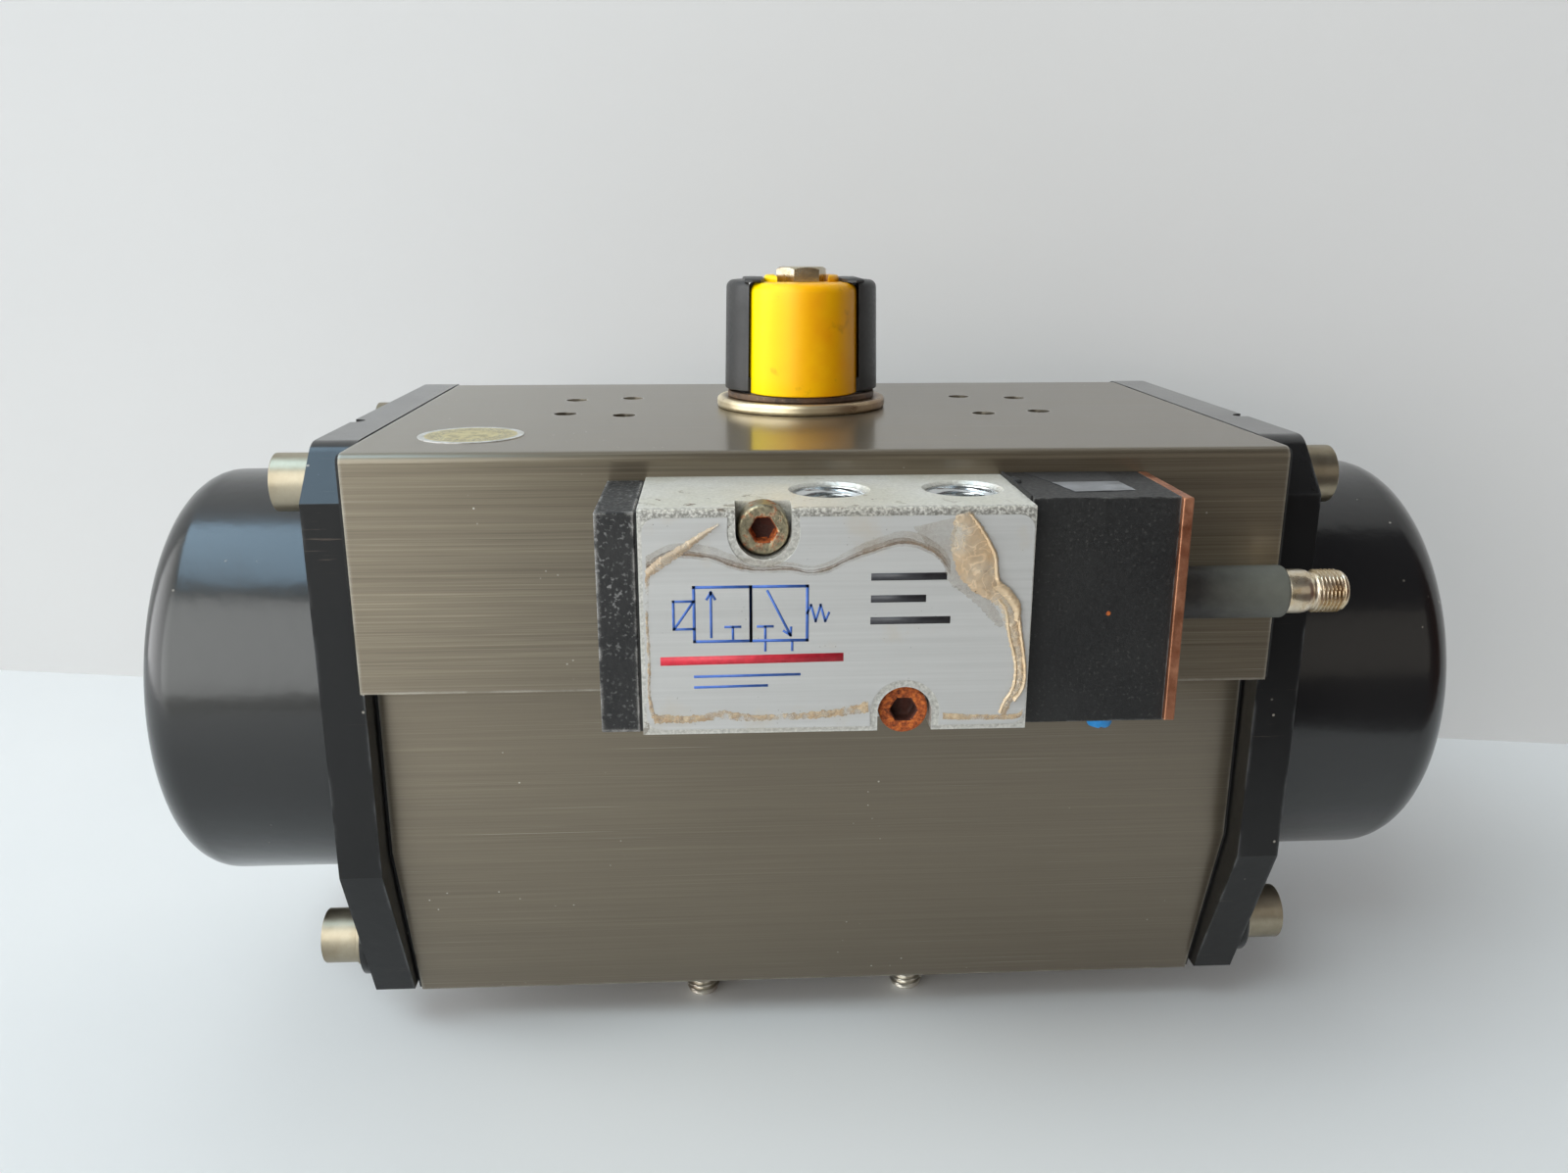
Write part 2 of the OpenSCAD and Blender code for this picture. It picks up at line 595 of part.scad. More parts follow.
module at_override() translate([override_x, spool_y, 0]) children();
module pilot_gasket() color(gasket_color) difference() {
    block(valve_x1, pilot_x0, -87.5, -65, 83, 122.6);
    on_spool() bar_x(valve_x1 - 1, valve_x1 + 1, pilot_air_r, 24);
    at_cover_screws() bar_x(valve_x1 - 1, valve_x1 + 1, cover_clear_r, 24);
}
module pilot_housing() color([0.12, 0.12, 0.13]) difference() {
    block(pilot_x0, pilot_x1, -88, -64.6, 82, 122.3);
    on_spool() {
        bar_x(36, 60, 9.6);
        bar_x(valve_x1, 37, pilot_air_r, 24);
    }
    at_cover_screws() bar_x(valve_x1, 60, cover_clear_r, 24);
    at_override() bar_z(81, 88, 2.15, 32);
}
module pilot_end_plate() color([0.72, 0.42, 0.26]) difference() {
    block(pilot_x1, 60.5, -89, -64.8, 82.3, 122.3);
    on_spool() bar_x(58, 62, 4.86);
    at_cover_screws() {
        bar_x(58, 62, cover_clear_r, 24);
        cone_x(countersink_x, 60.55, cover_clear_r, 2.95);
    }
}
module pilot_screws() color(screw_color) at_cover_screws() difference() {
    union() {
        cone_x(countersink_x, 60.4, cover_screw_r, 2.68);
        bar_x(27, 59.3, cover_screw_r, 24);
    }
    bar_x(59.4, 63, hex_r(2), 6);
}
module solenoid_coil() color([0.55, 0.30, 0.15]) on_spool() tube_x(37, 53.5, 5, 9.5);
module solenoid_core() color([0.60, 0.60, 0.62]) on_spool() bar_x(45, 53.9, 4.96);
module plunger() color([0.65, 0.65, 0.67]) on_spool() difference() {
    union() {
        bar_x(38.2, 44.15, 4.94);
        bar_x(36.1, 38.4, 2.2, 32);
    }
    bar_x(41, 46, 2.6, 32);
}
module plunger_spring() color(wire_color) on_spool()
    coil(coil_r = 1.95, wire_r = 0.35, x0 = 41.05, x1 = 44.95, turns = 4, steps = 12, sides = 6);

// ---------- spool
land_r = 6.44;
waist_r = 3.6;          // between the lands
spool_groove_r = 5;
groove_half_w = 0.9;
// Each land: [left end, right end, middle of its seal groove]
lands = [[-28, -20, -26], [-6.5, -3.5, -5], [4.5, 7.5, 6], [17, 20, 18.5], [30, 32.7, 31.3]];

function land_points(land) = let (g0 = land[2] - groove_half_w, g1 = land[2] + groove_half_w)
    [[land_r, land[0]], [land_r, g0], [spool_groove_r, g0],
        [spool_groove_r, g1], [land_r, g1], [land_r, land[1]]];
function waist_points(i) = i == 0 ? [] : [[waist_r, lands[i - 1][1]], [waist_r, lands[i][0]]];
// Turned shape of the spool, [radius, x]
spool_profile = concat([[0, -31], [2.4, -31], [2.4, -28]],
    [for (i = [0:len(lands) - 1]) for (p = concat(waist_points(i), land_points(lands[i]))) p],
    [[0, 32.7]]);

module valve_spool() color([0.72, 0.72, 0.74])
    on_spool() rotate([0, 90, 0]) rotate_extrude($fn = 64) polygon(spool_profile);
module spool_seals() color(seal_color) for (land = lands) on_spool() ring_x(land[2], 5.75, 0.7);
module spool_spring() color(wire_color) on_spool()
    coil(coil_r = 4.2, wire_r = 0.5, x0 = -38.55, x1 = -28.05, turns = 6, steps = 12, sides = 6);

// ---------- valve fixings, connector and labels
module valve_screws() color([0.55, 0.42, 0.30]) at_valve_screws() difference() {
    union() {
        bar_y(pocket_y - 5, pocket_y, 4.25);
        bar_y(-86, -56, 2.48);
    }
    bar_y(-92, -88.3, hex_r(4), 6);
}
module valve_port_seals() color(seal_color) at_air_ports()
    translate([0, -pad_y - 0.79, 0]) rotate([90, 0, 0]) ring(5.65, 0.76, 64);
module cable_sleeve() color([0.13, 0.13, 0.13]) on_spool() {
    bar_x(54.2, 58.6, 9.5);
    bar_x(58.5, 83, 4.8);
}
module connector_shell() color([0.72, 0.66, 0.52]) on_spool() difference() {
    union() {
        bar_x(83, 87.6, 4.05);
        bar_x(87.5, 88.3, 3.5);
        bar_x(88.2, 94.2, 3.97);
    }
    bar_x(84.5, 97, 3.1);
}
// Insert with three pins
module connector_insert() color([0.15, 0.15, 0.15]) on_spool() {
    bar_x(84.52, 89, 3.06);
    for (a = [90, 210, 330]) translate([0, 1.5 * cos(a), 1.5 * sin(a)]) bar_x(88.9, 93.2, 0.5, 24);
}
module manual_override() color([0.10, 0.30, 0.70]) at_override() {
    bar_z(75.4, 78, 2.6, 32);
    bar_z(77.9, 86.2, 2.1, 32);
}
// Foil label on the valve's front, with clearances around the screw pockets
module valve_label() color([0.75, 0.76, 0.78]) difference() {
    translate([0, -valve_y, 0]) rotate([90, 0, 0]) linear_extrude(height = 0.2)
        polygon(rounded_rect(-31.9, 32.8, 83.7, 120.5, 2.5));
    screw_pockets(6, 5.9, -valve_y - 2, -valve_y + 2, 5);
}
module top_label() color([0.86, 0.84, 0.70])
    translate([-68.1, -42.5, 0]) bar_z(body_h, body_h + 0.15, 10.3);

body();
end_cap_left();
end_cap_right();
end_cap_gasket_left();
end_cap_gasket_right();
end_cap_screws();
end_cap_washers();
pinion();
pinion_bottom_bearing();
pinion_top_bearing();
pinion_bottom_oring();
pinion_top_oring();
thrust_washer();
top_washer();
snap_ring();
stop_cam();
stop_screws();
stop_nuts();
stop_seals();
piston_left();
piston_right();
piston_oring_left();
piston_oring_right();
piston_guide_ring_left();
piston_guide_ring_right();
piston_pad_left();
piston_pad_right();
spring_outer_left();
spring_outer_right();
spring_inner_left();
spring_inner_right();
spring_seat_left();
spring_seat_right();
indicator_cap();
indicator_pointer();
indicator_bolt();
mounting_studs();
valve_body();
valve_end_cap();
valve_end_gasket();
valve_cap_screws();
pilot_housing();
pilot_gasket();
pilot_end_plate();
pilot_screws();
solenoid_coil();
solenoid_core();
plunger();
plunger_spring();
valve_spool();
spool_seals();
spool_spring();
valve_screws();
valve_port_seals();
cable_sleeve();
connector_shell();
connector_insert();
manual_override();
valve_label();
top_label();
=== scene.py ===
import json
import math
import bmesh
import bpy
from mathutils import Matrix, Vector, noise


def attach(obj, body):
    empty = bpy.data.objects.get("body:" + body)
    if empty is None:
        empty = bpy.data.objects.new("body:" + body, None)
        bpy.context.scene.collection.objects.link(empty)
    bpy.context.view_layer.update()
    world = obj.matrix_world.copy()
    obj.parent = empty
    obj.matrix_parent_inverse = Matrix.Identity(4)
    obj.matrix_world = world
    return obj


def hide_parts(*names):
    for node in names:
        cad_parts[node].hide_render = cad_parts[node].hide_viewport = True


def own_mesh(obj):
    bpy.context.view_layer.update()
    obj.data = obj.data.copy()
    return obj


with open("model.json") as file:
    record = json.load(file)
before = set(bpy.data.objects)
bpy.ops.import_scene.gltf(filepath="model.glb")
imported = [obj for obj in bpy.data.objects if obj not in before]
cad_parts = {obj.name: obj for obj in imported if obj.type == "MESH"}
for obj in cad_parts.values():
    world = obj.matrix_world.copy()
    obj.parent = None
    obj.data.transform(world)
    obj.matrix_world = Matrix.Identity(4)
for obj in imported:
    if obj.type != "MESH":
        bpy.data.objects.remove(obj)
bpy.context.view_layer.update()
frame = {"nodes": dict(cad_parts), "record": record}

MM = 0.001
REC = frame["record"]
BODY_OF = {n: b for b, ns in REC["behaviour"]["bodies"].items() for n in ns}
SLOT_OF = {s["node"]: s["material_slot"] for s in REC["subparts"]}
COLL = bpy.context.scene.collection


# ---------------------------------------------------------------- materials
def srgb(r, g, b):
    def f(c):
        c /= 255.0
        return c / 12.92 if c <= 0.04045 else ((c + 0.055) / 1.055) ** 2.4
    return (f(r), f(g), f(b), 1.0)


class Mat:
    """A node material built from a few helpers. Every helper returns a socket."""

    def __init__(self, name):
        self.m = bpy.data.materials.new(name)
        self.m.use_nodes = True
        self.t = self.m.node_tree
        self.t.nodes.clear()
        self.out = self.n("ShaderNodeOutputMaterial")
        self.b = self.n("ShaderNodeBsdfPrincipled")
        self.t.links.new(self.b.outputs[0], self.out.inputs["Surface"])
        self.tc = self.n("ShaderNodeTexCoord")
        self.obj = self.tc.outputs["Object"]
        self.geo = self.n("ShaderNodeNewGeometry")

    def n(self, kind, **kw):
        x = self.t.nodes.new(kind)
        for k, v in kw.items():
            setattr(x, k, v)
        return x

    def put(self, sock, v):
        if isinstance(v, bpy.types.NodeSocket):
            self.t.links.new(v, sock)
        else:
            sock.default_value = v

    def set(self, **kw):
        names = {"color": "Base Color", "metal": "Metallic", "rough": "Roughness", "normal": "Normal", "coat": "Coat Weight",
                 "coat_rough": "Coat Roughness", "spec": "Specular IOR Level", "aniso": "Anisotropic", "alpha": "Alpha",
                 "sss": "Subsurface Weight", "trans": "Transmission Weight", "ior": "IOR"}
        for k, v in kw.items():
            self.put(self.b.inputs[names[k]], v)
        return self

    def scaled(self, sx, sy, sz, off=(0, 0, 0)):
        mp = self.n("ShaderNodeMapping")
        self.t.links.new(self.obj, mp.inputs["Vector"])
        mp.inputs["Scale"].default_value = (sx, sy, sz)
        mp.inputs["Location"].default_value = off
        return mp.outputs[0]

    def noise(self, scale=1.0, detail=4.0, rough=0.55, vec=None, dist=0.0):
        x = self.n("ShaderNodeTexNoise")
        x.inputs["Scale"].default_value = scale
        x.inputs["Detail"].default_value = detail
        x.inputs["Roughness"].default_value = rough
        x.inputs["Distortion"].default_value = dist
        self.t.links.new(vec if vec is not None else self.obj, x.inputs["Vector"])
        return x.outputs["Fac"]

    def voronoi(self, scale=1.0, vec=None, feature="F1", out="Distance"):
        x = self.n("ShaderNodeTexVoronoi", feature=feature)
        x.inputs["Scale"].default_value = scale
        self.t.links.new(vec if vec is not None else self.obj, x.inputs["Vector"])
        return x.outputs[out]

    def ramp(self, fac, *stops):
        x = self.n("ShaderNodeValToRGB")
        e = x.color_ramp.elements
        while len(e) < len(stops):
            e.new(0.5)
        for k, (p, c) in enumerate(stops):
            e[k].position = p
            e[k].color = c if isinstance(c, tuple) else (c, c, c, 1)
        self.t.links.new(fac, x.inputs[0])
        return x.outputs[0]

    def rng(self, fac, a, b, lo, hi):
        x = self.n("ShaderNodeMapRange")
        self.put(x.inputs[0], fac)
        for k, v in zip((1, 2, 3, 4), (a, b, lo, hi)):
            x.inputs[k].default_value = v
        return x.outputs[0]

    def mix(self, fac, a, b, blend="MIX"):
        x = self.n("ShaderNodeMix", data_type="RGBA", blend_type=blend)
        self.put(x.inputs[0], fac)
        self.put(x.inputs[6], a)
        self.put(x.inputs[7], b)
        return x.outputs[2]

    def math(self, op, a, b=0.0, clamp=False):
        x = self.n("ShaderNodeMath", operation=op, use_clamp=clamp)
        self.put(x.inputs[0], a)
        self.put(x.inputs[1], b)
        return x.outputs[0]

    def xyz(self, vec=None):
        x = self.n("ShaderNodeSeparateXYZ")
        self.t.links.new(vec if vec is not None else self.obj, x.inputs[0])
        return x.outputs

    def edge(self, radius, lo=0.02, hi=0.25):
        """1 along sharp edges, 0 on flat stretches."""
        bv = self.n("ShaderNodeBevel", samples=4)
        bv.inputs["Radius"].default_value = radius
        dot = self.n("ShaderNodeVectorMath", operation="DOT_PRODUCT")
        self.t.links.new(bv.outputs[0], dot.inputs[0])
        self.t.links.new(self.geo.outputs["Normal"], dot.inputs[1])
        inv = self.math("SUBTRACT", 1.0, dot.outputs["Value"])
        return self.rng(inv, lo, hi, 0.0, 1.0)

    def brushed(self, axis="X", amount=0.7):
        """Reflections smeared across draw lines that run along an axis."""
        tg = self.n("ShaderNodeTangent", direction_type="RADIAL", axis=axis)
        self.t.links.new(tg.outputs[0], self.b.inputs["Tangent"])
        self.b.inputs["Anisotropic"].default_value = amount

    def bump(self, height, strength=0.3, dist=0.0002, normal=None):
        x = self.n("ShaderNodeBump")
        x.inputs["Strength"].default_value = strength
        x.inputs["Distance"].default_value = dist
        self.put(x.inputs["Height"], height)
        if normal is not None:
            self.put(x.inputs["Normal"], normal)
        return x.outputs[0]


def mat_anodised():
    """Hard-anodised extrusion: draw lines along X, small pits, paler edges (worn bare metal and a painted edge
    highlight), dirt low down.
    """
    m = Mat("anodised_body")
    fine = m.noise(1.0, 3, 0.60, m.scaled(20, 3700, 3700))
    mid = m.noise(1.0, 3, 0.60, m.scaled(9, 1900, 1900, (3, 1, 2)))
    wide = m.noise(1.0, 3, 0.55, m.scaled(4, 190, 190, (1, 5, 3)))
    s = m.math("ADD", m.math("MULTIPLY", fine, 0.60), m.math("MULTIPLY", mid, 0.30))
    s = m.math("ADD", s, m.math("MULTIPLY", wide, 0.10))
    base = m.ramp(s, (0.32, srgb(98, 89, 75)), (0.45, srgb(115, 105, 89)), (0.55, srgb(124, 114, 97)), (0.68, srgb(146, 136, 117)))
    cloud = m.noise(7.0, 4, 0.5)
    base = m.mix(m.rng(cloud, 0.35, 0.7, 0.0, 0.35), base, srgb(114, 106, 91))
    # the drawn face below the pad is smoother
    base = m.mix(m.rng(m.xyz()[2], 0.086, 0.074, 0.0, 0.45), base, srgb(119, 109, 93))
    # short bright draw marks and fine pits
    scr = m.noise(1.0, 2, 0.5, m.scaled(16, 4200, 4200, (7, 7, 7)))
    base = m.mix(m.rng(scr, 0.70, 0.80, 0.0, 0.6), base, srgb(190, 184, 168))
    pits = m.voronoi(420, m.scaled(1, 1, 1, (0.2, 0.1, 0.3)))
    pit_on = m.math("MULTIPLY", m.rng(pits, 0.045, 0.10, 1.0, 0.0), m.rng(m.noise(60, 2), 0.60, 0.66, 0.0, 1.0))
    base = m.mix(m.math("MULTIPLY", pit_on, 0.75), base, srgb(222, 218, 208))
    # paler edges: worn bare metal, together with a painted edge highlight
    e = m.math("MULTIPLY", m.edge(0.0011), m.rng(m.noise(160, 4), 0.35, 0.62, 0.25, 1.0))
    base = m.mix(m.math("MULTIPLY", e, 0.75), base, srgb(205, 201, 190))
    z = m.xyz()[2]
    base = m.mix(m.math("MULTIPLY", m.rng(z, 0.055, 0.0, 0.0, 0.28), m.noise(18, 4)), base, srgb(70, 62, 50))
    m.set(color=base, metal=0.8, rough=m.rng(s, 0.35, 0.65, 0.32, 0.42), normal=m.bump(s, 0.08, 0.00006), coat=0.6, coat_rough=0.17)
    m.brushed("X", 0.8)
    return m.m


def mat_casting():
    """Satin black coating over a casting: orange peel, dust, scuffs and rubbed edges."""
    m = Mat("black_casting")
    peel = m.noise(330, 3, 0.5)
    big = m.noise(45, 4, 0.55)
    dust = m.noise(14, 5, 0.6)
    col = m.mix(m.rng(dust, 0.35, 0.75, 0.0, 0.55), srgb(12, 12, 13), srgb(24, 23, 22))
    scr = m.noise(1.0, 3, 0.6, m.scaled(90, 700, 2600, (4, 2, 1)))
    mask = m.math("MULTIPLY", m.rng(scr, 0.66, 0.74, 0.0, 1.0), m.rng(m.noise(22, 3), 0.50, 0.60, 0.0, 1.0))
    col = m.mix(m.math("MULTIPLY", mask, 0.55), col, srgb(118, 104, 92))
    spots = m.voronoi(260, m.scaled(1, 1, 1, (0.5, 0.4, 0.1)))
    spot = m.math("MULTIPLY", m.rng(spots, 0.05, 0.09, 1.0, 0.0), m.rng(m.noise(35, 2, 0.5, m.scaled(1, 1, 1, (2, 2, 2))), 0.57, 0.62, 0.0, 1.0))
    col = m.mix(m.math("MULTIPLY", spot, 0.7), col, srgb(176, 170, 160))
    e = m.math("MULTIPLY", m.edge(0.0012, 0.03, 0.3), m.rng(m.noise(120, 5), 0.45, 0.62, 0.0, 1.0))
    col = m.mix(m.math("MULTIPLY", e, 0.55), col, srgb(120, 122, 124))
    h = m.math("ADD", m.math("MULTIPLY", peel, 0.42), m.math("MULTIPLY", big, 1.5))
    side = m.xyz(m.geo.outputs["Normal"])[2]
    ax_ = m.math("MULTIPLY", m.rng(m.math("ABSOLUTE", m.xyz()[0]), 0.0990, 0.0975, 0.0, 1.0), m.rng(side, 0.6, 0.9, 1.0, 0.0))
    rr = m.math("ADD", m.rng(dust, 0.3, 0.75, 0.16, 0.28), m.math("MULTIPLY", ax_, 0.12))
    m.set(color=col, metal=0.0, rough=rr, spec=m.rng(ax_, 0.0, 1.0, 0.55, 0.34),
          normal=m.bump(h, 0.22, 0.0005), coat=m.rng(ax_, 0.0, 1.0, 0.22, 0.0), coat_rough=0.12)
    return m.m


def mat_metal(name, c0, c1, rough=(0.22, 0.4), scale=60, grain=None, stain=None, stain_amt=0.5, edge_c=None, bump=0.12, metal=1.0, seed=0.0):
    m = Mat(name)
    off = (seed, seed * 2, seed * 3)
    a = m.noise(scale, 5, 0.6, m.scaled(1, 1, 1, off))
    col = m.mix(m.rng(a, 0.35, 0.68, 0, 1), c0, c1)
    h = m.noise(scale * 9, 4, 0.6, m.scaled(1, 1, 1, off)) if grain is None else m.noise(1.0, 4, 0.6, m.scaled(*grain))
    if grain is not None:
        col = m.mix(m.rng(h, 0.35, 0.7, 0.0, 0.25), col, (c0[0] * 0.45, c0[1] * 0.45, c0[2] * 0.45, 1))
    if stain is not None:
        st = m.noise(scale * 0.6, 6, 0.65, m.scaled(1, 1, 1, (off[0] + 3, 1, 2)))
        col = m.mix(m.math("MULTIPLY", m.rng(st, 0.48, 0.62, 0, 1), stain_amt), col, stain)
    if edge_c is not None:
        e = m.edge(0.0005)
        col = m.mix(m.math("MULTIPLY", e, 0.6), col, edge_c)
    m.set(color=col, metal=metal, rough=m.rng(a, 0.3, 0.7, *rough), normal=m.bump(h, bump, 0.0002))
    return m.m


def mat_plastic(name, c0, c1, rough=(0.35, 0.5), scale=40, grain=900, bump=0.1, speck=None, speck_amt=0.5, edge_c=None, edge_amt=0.6, edge_r=0.0008, spec=0.5):
    m = Mat(name)
    a = m.noise(scale, 4, 0.55)
    g = m.noise(grain, 3, 0.6)
    col = m.mix(m.rng(a, 0.35, 0.7, 0, 1), c0, c1)
    if speck is not None:
        sp = m.noise(1500, 2, 0.5)
        sp2 = m.noise(120, 4, 0.6)
        k = m.math("MULTIPLY", m.rng(sp, 0.58, 0.70, 0, 1), m.rng(sp2, 0.38, 0.62, 0.15, 1.0))
        col = m.mix(m.math("MULTIPLY", k, speck_amt), col, speck)
    if edge_c is not None:
        e = m.math("MULTIPLY", m.edge(edge_r), m.rng(m.noise(300, 5, 0.65), 0.42, 0.60, 0.0, 1.0))
        col = m.mix(m.math("MULTIPLY", e, edge_amt), col, edge_c)
    m.set(color=col, rough=m.rng(g, 0.3, 0.7, *rough), normal=m.bump(g, bump, 0.0002), spec=spec)
    return m.m


def mat_valve_alloy():
    """Blasted aluminium with chips, grime near the top and bright edges."""
    m = Mat("valve_alloy")
    g = m.noise(1700, 3, 0.6)
    a = m.noise(45, 4, 0.55)
    col = m.mix(m.rng(g, 0.35, 0.7, 0, 1), srgb(172, 171, 165), srgb(224, 223, 217))
    col = m.mix(m.rng(a, 0.45, 0.7, 0, 0.35), col, srgb(178, 172, 158))
    chips = m.noise(1.0, 5, 0.7, m.scaled(190, 190, 190, (1, 2, 3)), 0.6)
    chip = m.math("MULTIPLY", m.rng(chips, 0.615, 0.645, 0, 1), m.rng(m.noise(38, 2, 0.5, m.scaled(1, 1, 1, (4, 4, 1))), 0.48, 0.58, 0, 1))
    col = m.mix(m.math("MULTIPLY", chip, 0.85), col, srgb(98, 84, 66))
    e = m.edge(0.0009)
    col = m.mix(m.math("MULTIPLY", m.math("MULTIPLY", e, m.rng(m.noise(260, 4), 0.4, 0.6, 0.2, 1)), 0.6), col, srgb(236, 235, 230))
    x, y, z = m.xyz()
    top = m.rng(z, 0.1212, 0.1218, 0, 1)
    tint = m.mix(m.rng(m.noise(75, 4, 0.6), 0.38, 0.62, 0, 1), srgb(226, 224, 208), srgb(238, 237, 230))
    col = m.mix(m.math("MULTIPLY", top, 0.5), col, tint)
    tchip = m.math("MULTIPLY", m.rng(m.noise(1.0, 5, 0.7, m.scaled(210, 300, 210, (8, 2, 3)), 0.9), 0.60, 0.63, 0, 1), m.rng(m.noise(48, 2, 0.5, m.scaled(1, 1, 1, (1, 6, 1))), 0.50, 0.58, 0, 1))
    col = m.mix(m.math("MULTIPLY", m.math("MULTIPLY", tchip, top), 0.85), col, srgb(104, 82, 60))
    band = m.math("MULTIPLY", m.rng(y, -0.0909, -0.0914, 0, 1), m.rng(z, 0.1196, 0.1204, 0, 1))
    col = m.mix(m.math("MULTIPLY", m.math("MULTIPLY", band, m.rng(g, 0.42, 0.58, 1, 0)), 0.6), col, srgb(120, 118, 112))
    m.set(color=col, metal=m.rng(top, 0, 1, 0.7, 0.45), rough=m.rng(g, 0.3, 0.7, 0.38, 0.56), normal=m.bump(g, 0.2, 0.00010))
    return m.m


def mat_rusty(name, amount, seed):
    """Plated screw under rust: orange scale on most of it, bare metal where it is rubbed."""
    m = Mat(name)
    a = m.noise(420, 6, 0.7, m.scaled(1, 1, 1, (seed, seed, 1)))
    b = m.noise(1500, 4, 0.65)
    rust = m.ramp(b, (0.30, srgb(74, 34, 14)), (0.48, srgb(150, 70, 24)), (0.64, srgb(196, 108, 44)))
    steel = m.mix(m.rng(b, 0.3, 0.7, 0, 1), srgb(120, 112, 92), srgb(176, 166, 138))
    k = m.rng(a, 0.62 - 0.34 * amount, 0.74 - 0.34 * amount, 0, 1)
    col = m.mix(k, steel, rust)
    m.set(color=col, metal=m.rng(k, 0, 1, 0.95, 0.05), rough=m.rng(k, 0, 1, 0.34, 0.85), normal=m.bump(m.math("ADD", b, m.math("MULTIPLY", k, 0.7)), 0.5, 0.00025))
    return m.m


def mat_yellow():
    m = Mat("indicator_yellow")
    a = m.noise(35, 4, 0.55)
    x, y, z = m.xyz()
    col = m.mix(m.rng(a, 0.35, 0.7, 0, 1), srgb(255, 200, 0), srgb(252, 184, 0))
    # painted shade: browner towards +X, the side of the pointer turned away from the light
    painted_shade = m.math("ADD", m.math("MULTIPLY", x, 60.0), m.math("MULTIPLY", m.noise(22, 3), 0.5))
    col = m.mix(m.rng(painted_shade, 0.25, 1.0, 0.0, 0.45), col, srgb(204, 112, 8))
    # painted highlight: paler yellow towards -X, the side the light falls on
    lit = m.math("ADD", m.math("MULTIPLY", x, -90.0), m.math("MULTIPLY", m.math("SUBTRACT", m.noise(60, 3), 0.5), 0.5))
    col = m.mix(m.rng(lit, 0.15, 0.95, 0.0, 0.85), col, srgb(255, 226, 0))
    # painted shade: orange blotches only on the +X half, the shaded side
    blot = m.math("MULTIPLY", m.rng(m.noise(70, 4, 0.6), 0.45, 0.68, 0, 0.35), m.rng(x, -0.004, 0.002, 0, 1))
    col = m.mix(blot, col, srgb(236, 132, 0))
    grime = m.noise(180, 5, 0.6)
    col = m.mix(m.rng(grime, 0.60, 0.72, 0, 0.4), col, srgb(150, 100, 30))
    m.set(color=col, rough=m.rng(a, 0.3, 0.7, 0.28, 0.38), normal=m.bump(m.noise(700, 3), 0.06, 0.0002), sss=0.0, spec=0.22)
    m.b.inputs["Subsurface Radius"].default_value = (0.003, 0.0015, 0.0004)
    return m.m


def mat_label():
    """Brushed silver foil: soft streaks, tiny pits and a faint tan haze at the rim."""
    m = Mat("label_foil")
    s = m.noise(1.0, 4, 0.6, m.scaled(22, 900, 1700))
    col = m.mix(m.rng(s, 0.3, 0.7, 0, 1), srgb(182, 183, 182), srgb(192, 193, 192))
    blot = m.noise(90, 5, 0.6)
    col = m.mix(m.rng(blot, 0.60, 0.75, 0, 0.4), col, srgb(188, 178, 160))
    speck = m.voronoi(900)
    col = m.mix(m.math("MULTIPLY", m.rng(speck, 0.05, 0.11, 1, 0), m.rng(m.noise(90, 2), 0.56, 0.62, 0, 0.7)), col, srgb(96, 92, 86))
    m.set(color=col, metal=0.35, rough=m.rng(s, 0.3, 0.7, 0.42, 0.5), normal=m.bump(s, 0.03, 0.0001))
    return m.m


def mat_ink(name, c):
    m = Mat(name)
    a = m.noise(900, 3, 0.6)
    m.set(color=m.mix(m.rng(a, 0.4, 0.7, 0, 0.35), c, tuple(min(1, v * 1.8 + 0.02) for v in c[:3]) + (1,)), rough=m.rng(a, 0.3, 0.7, 0.4, 0.55), normal=m.bump(a, 0.08, 0.0001))
    return m.m


def mat_film(name, tint, lo, hi, edge=srgb(196, 166, 128)):
    """Old clear film gone tan: patchy, half see-through."""
    m = Mat(name)
    a = m.noise(160, 6, 0.65)
    b = m.noise(700, 5, 0.7, None, 0.5)
    col = m.mix(m.rng(a, 0.35, 0.7, 0, 1), tint, edge)
    col = m.mix(m.rng(b, 0.62, 0.74, 0, 0.5), col, srgb(150, 118, 86))
    crease = m.math("ABSOLUTE", m.math("SUBTRACT", m.noise(260, 3, 0.5, None, 0.8), 0.5))
    al = m.math("ADD", m.rng(a, 0.35, 0.68, lo, hi), m.rng(crease, 0.03, 0.0, 0.0, 0.35), True)
    m.set(color=col, rough=0.3, spec=0.6, alpha=al, normal=m.bump(m.math("ADD", a, m.math("MULTIPLY", b, 0.5)), 0.5, 0.0004))
    return m.m


def mat_residue():
    """Adhesive and dust caught along a torn edge: brown specks that fade out."""
    m = Mat("residue")
    a = m.noise(420, 6, 0.7)
    b = m.noise(2200, 3, 0.6)
    col = m.mix(m.rng(a, 0.35, 0.65, 0, 1), srgb(150, 126, 98), srgb(112, 84, 60))
    col = m.mix(m.rng(b, 0.55, 0.65, 0, 0.6), col, srgb(88, 62, 44))
    m.set(color=col, rough=0.8, alpha=m.rng(m.math("ADD", a, m.math("MULTIPLY", b, 0.35)), 0.62, 0.84, 0.0, 0.85), normal=m.bump(b, 0.4, 0.0003))
    return m.m


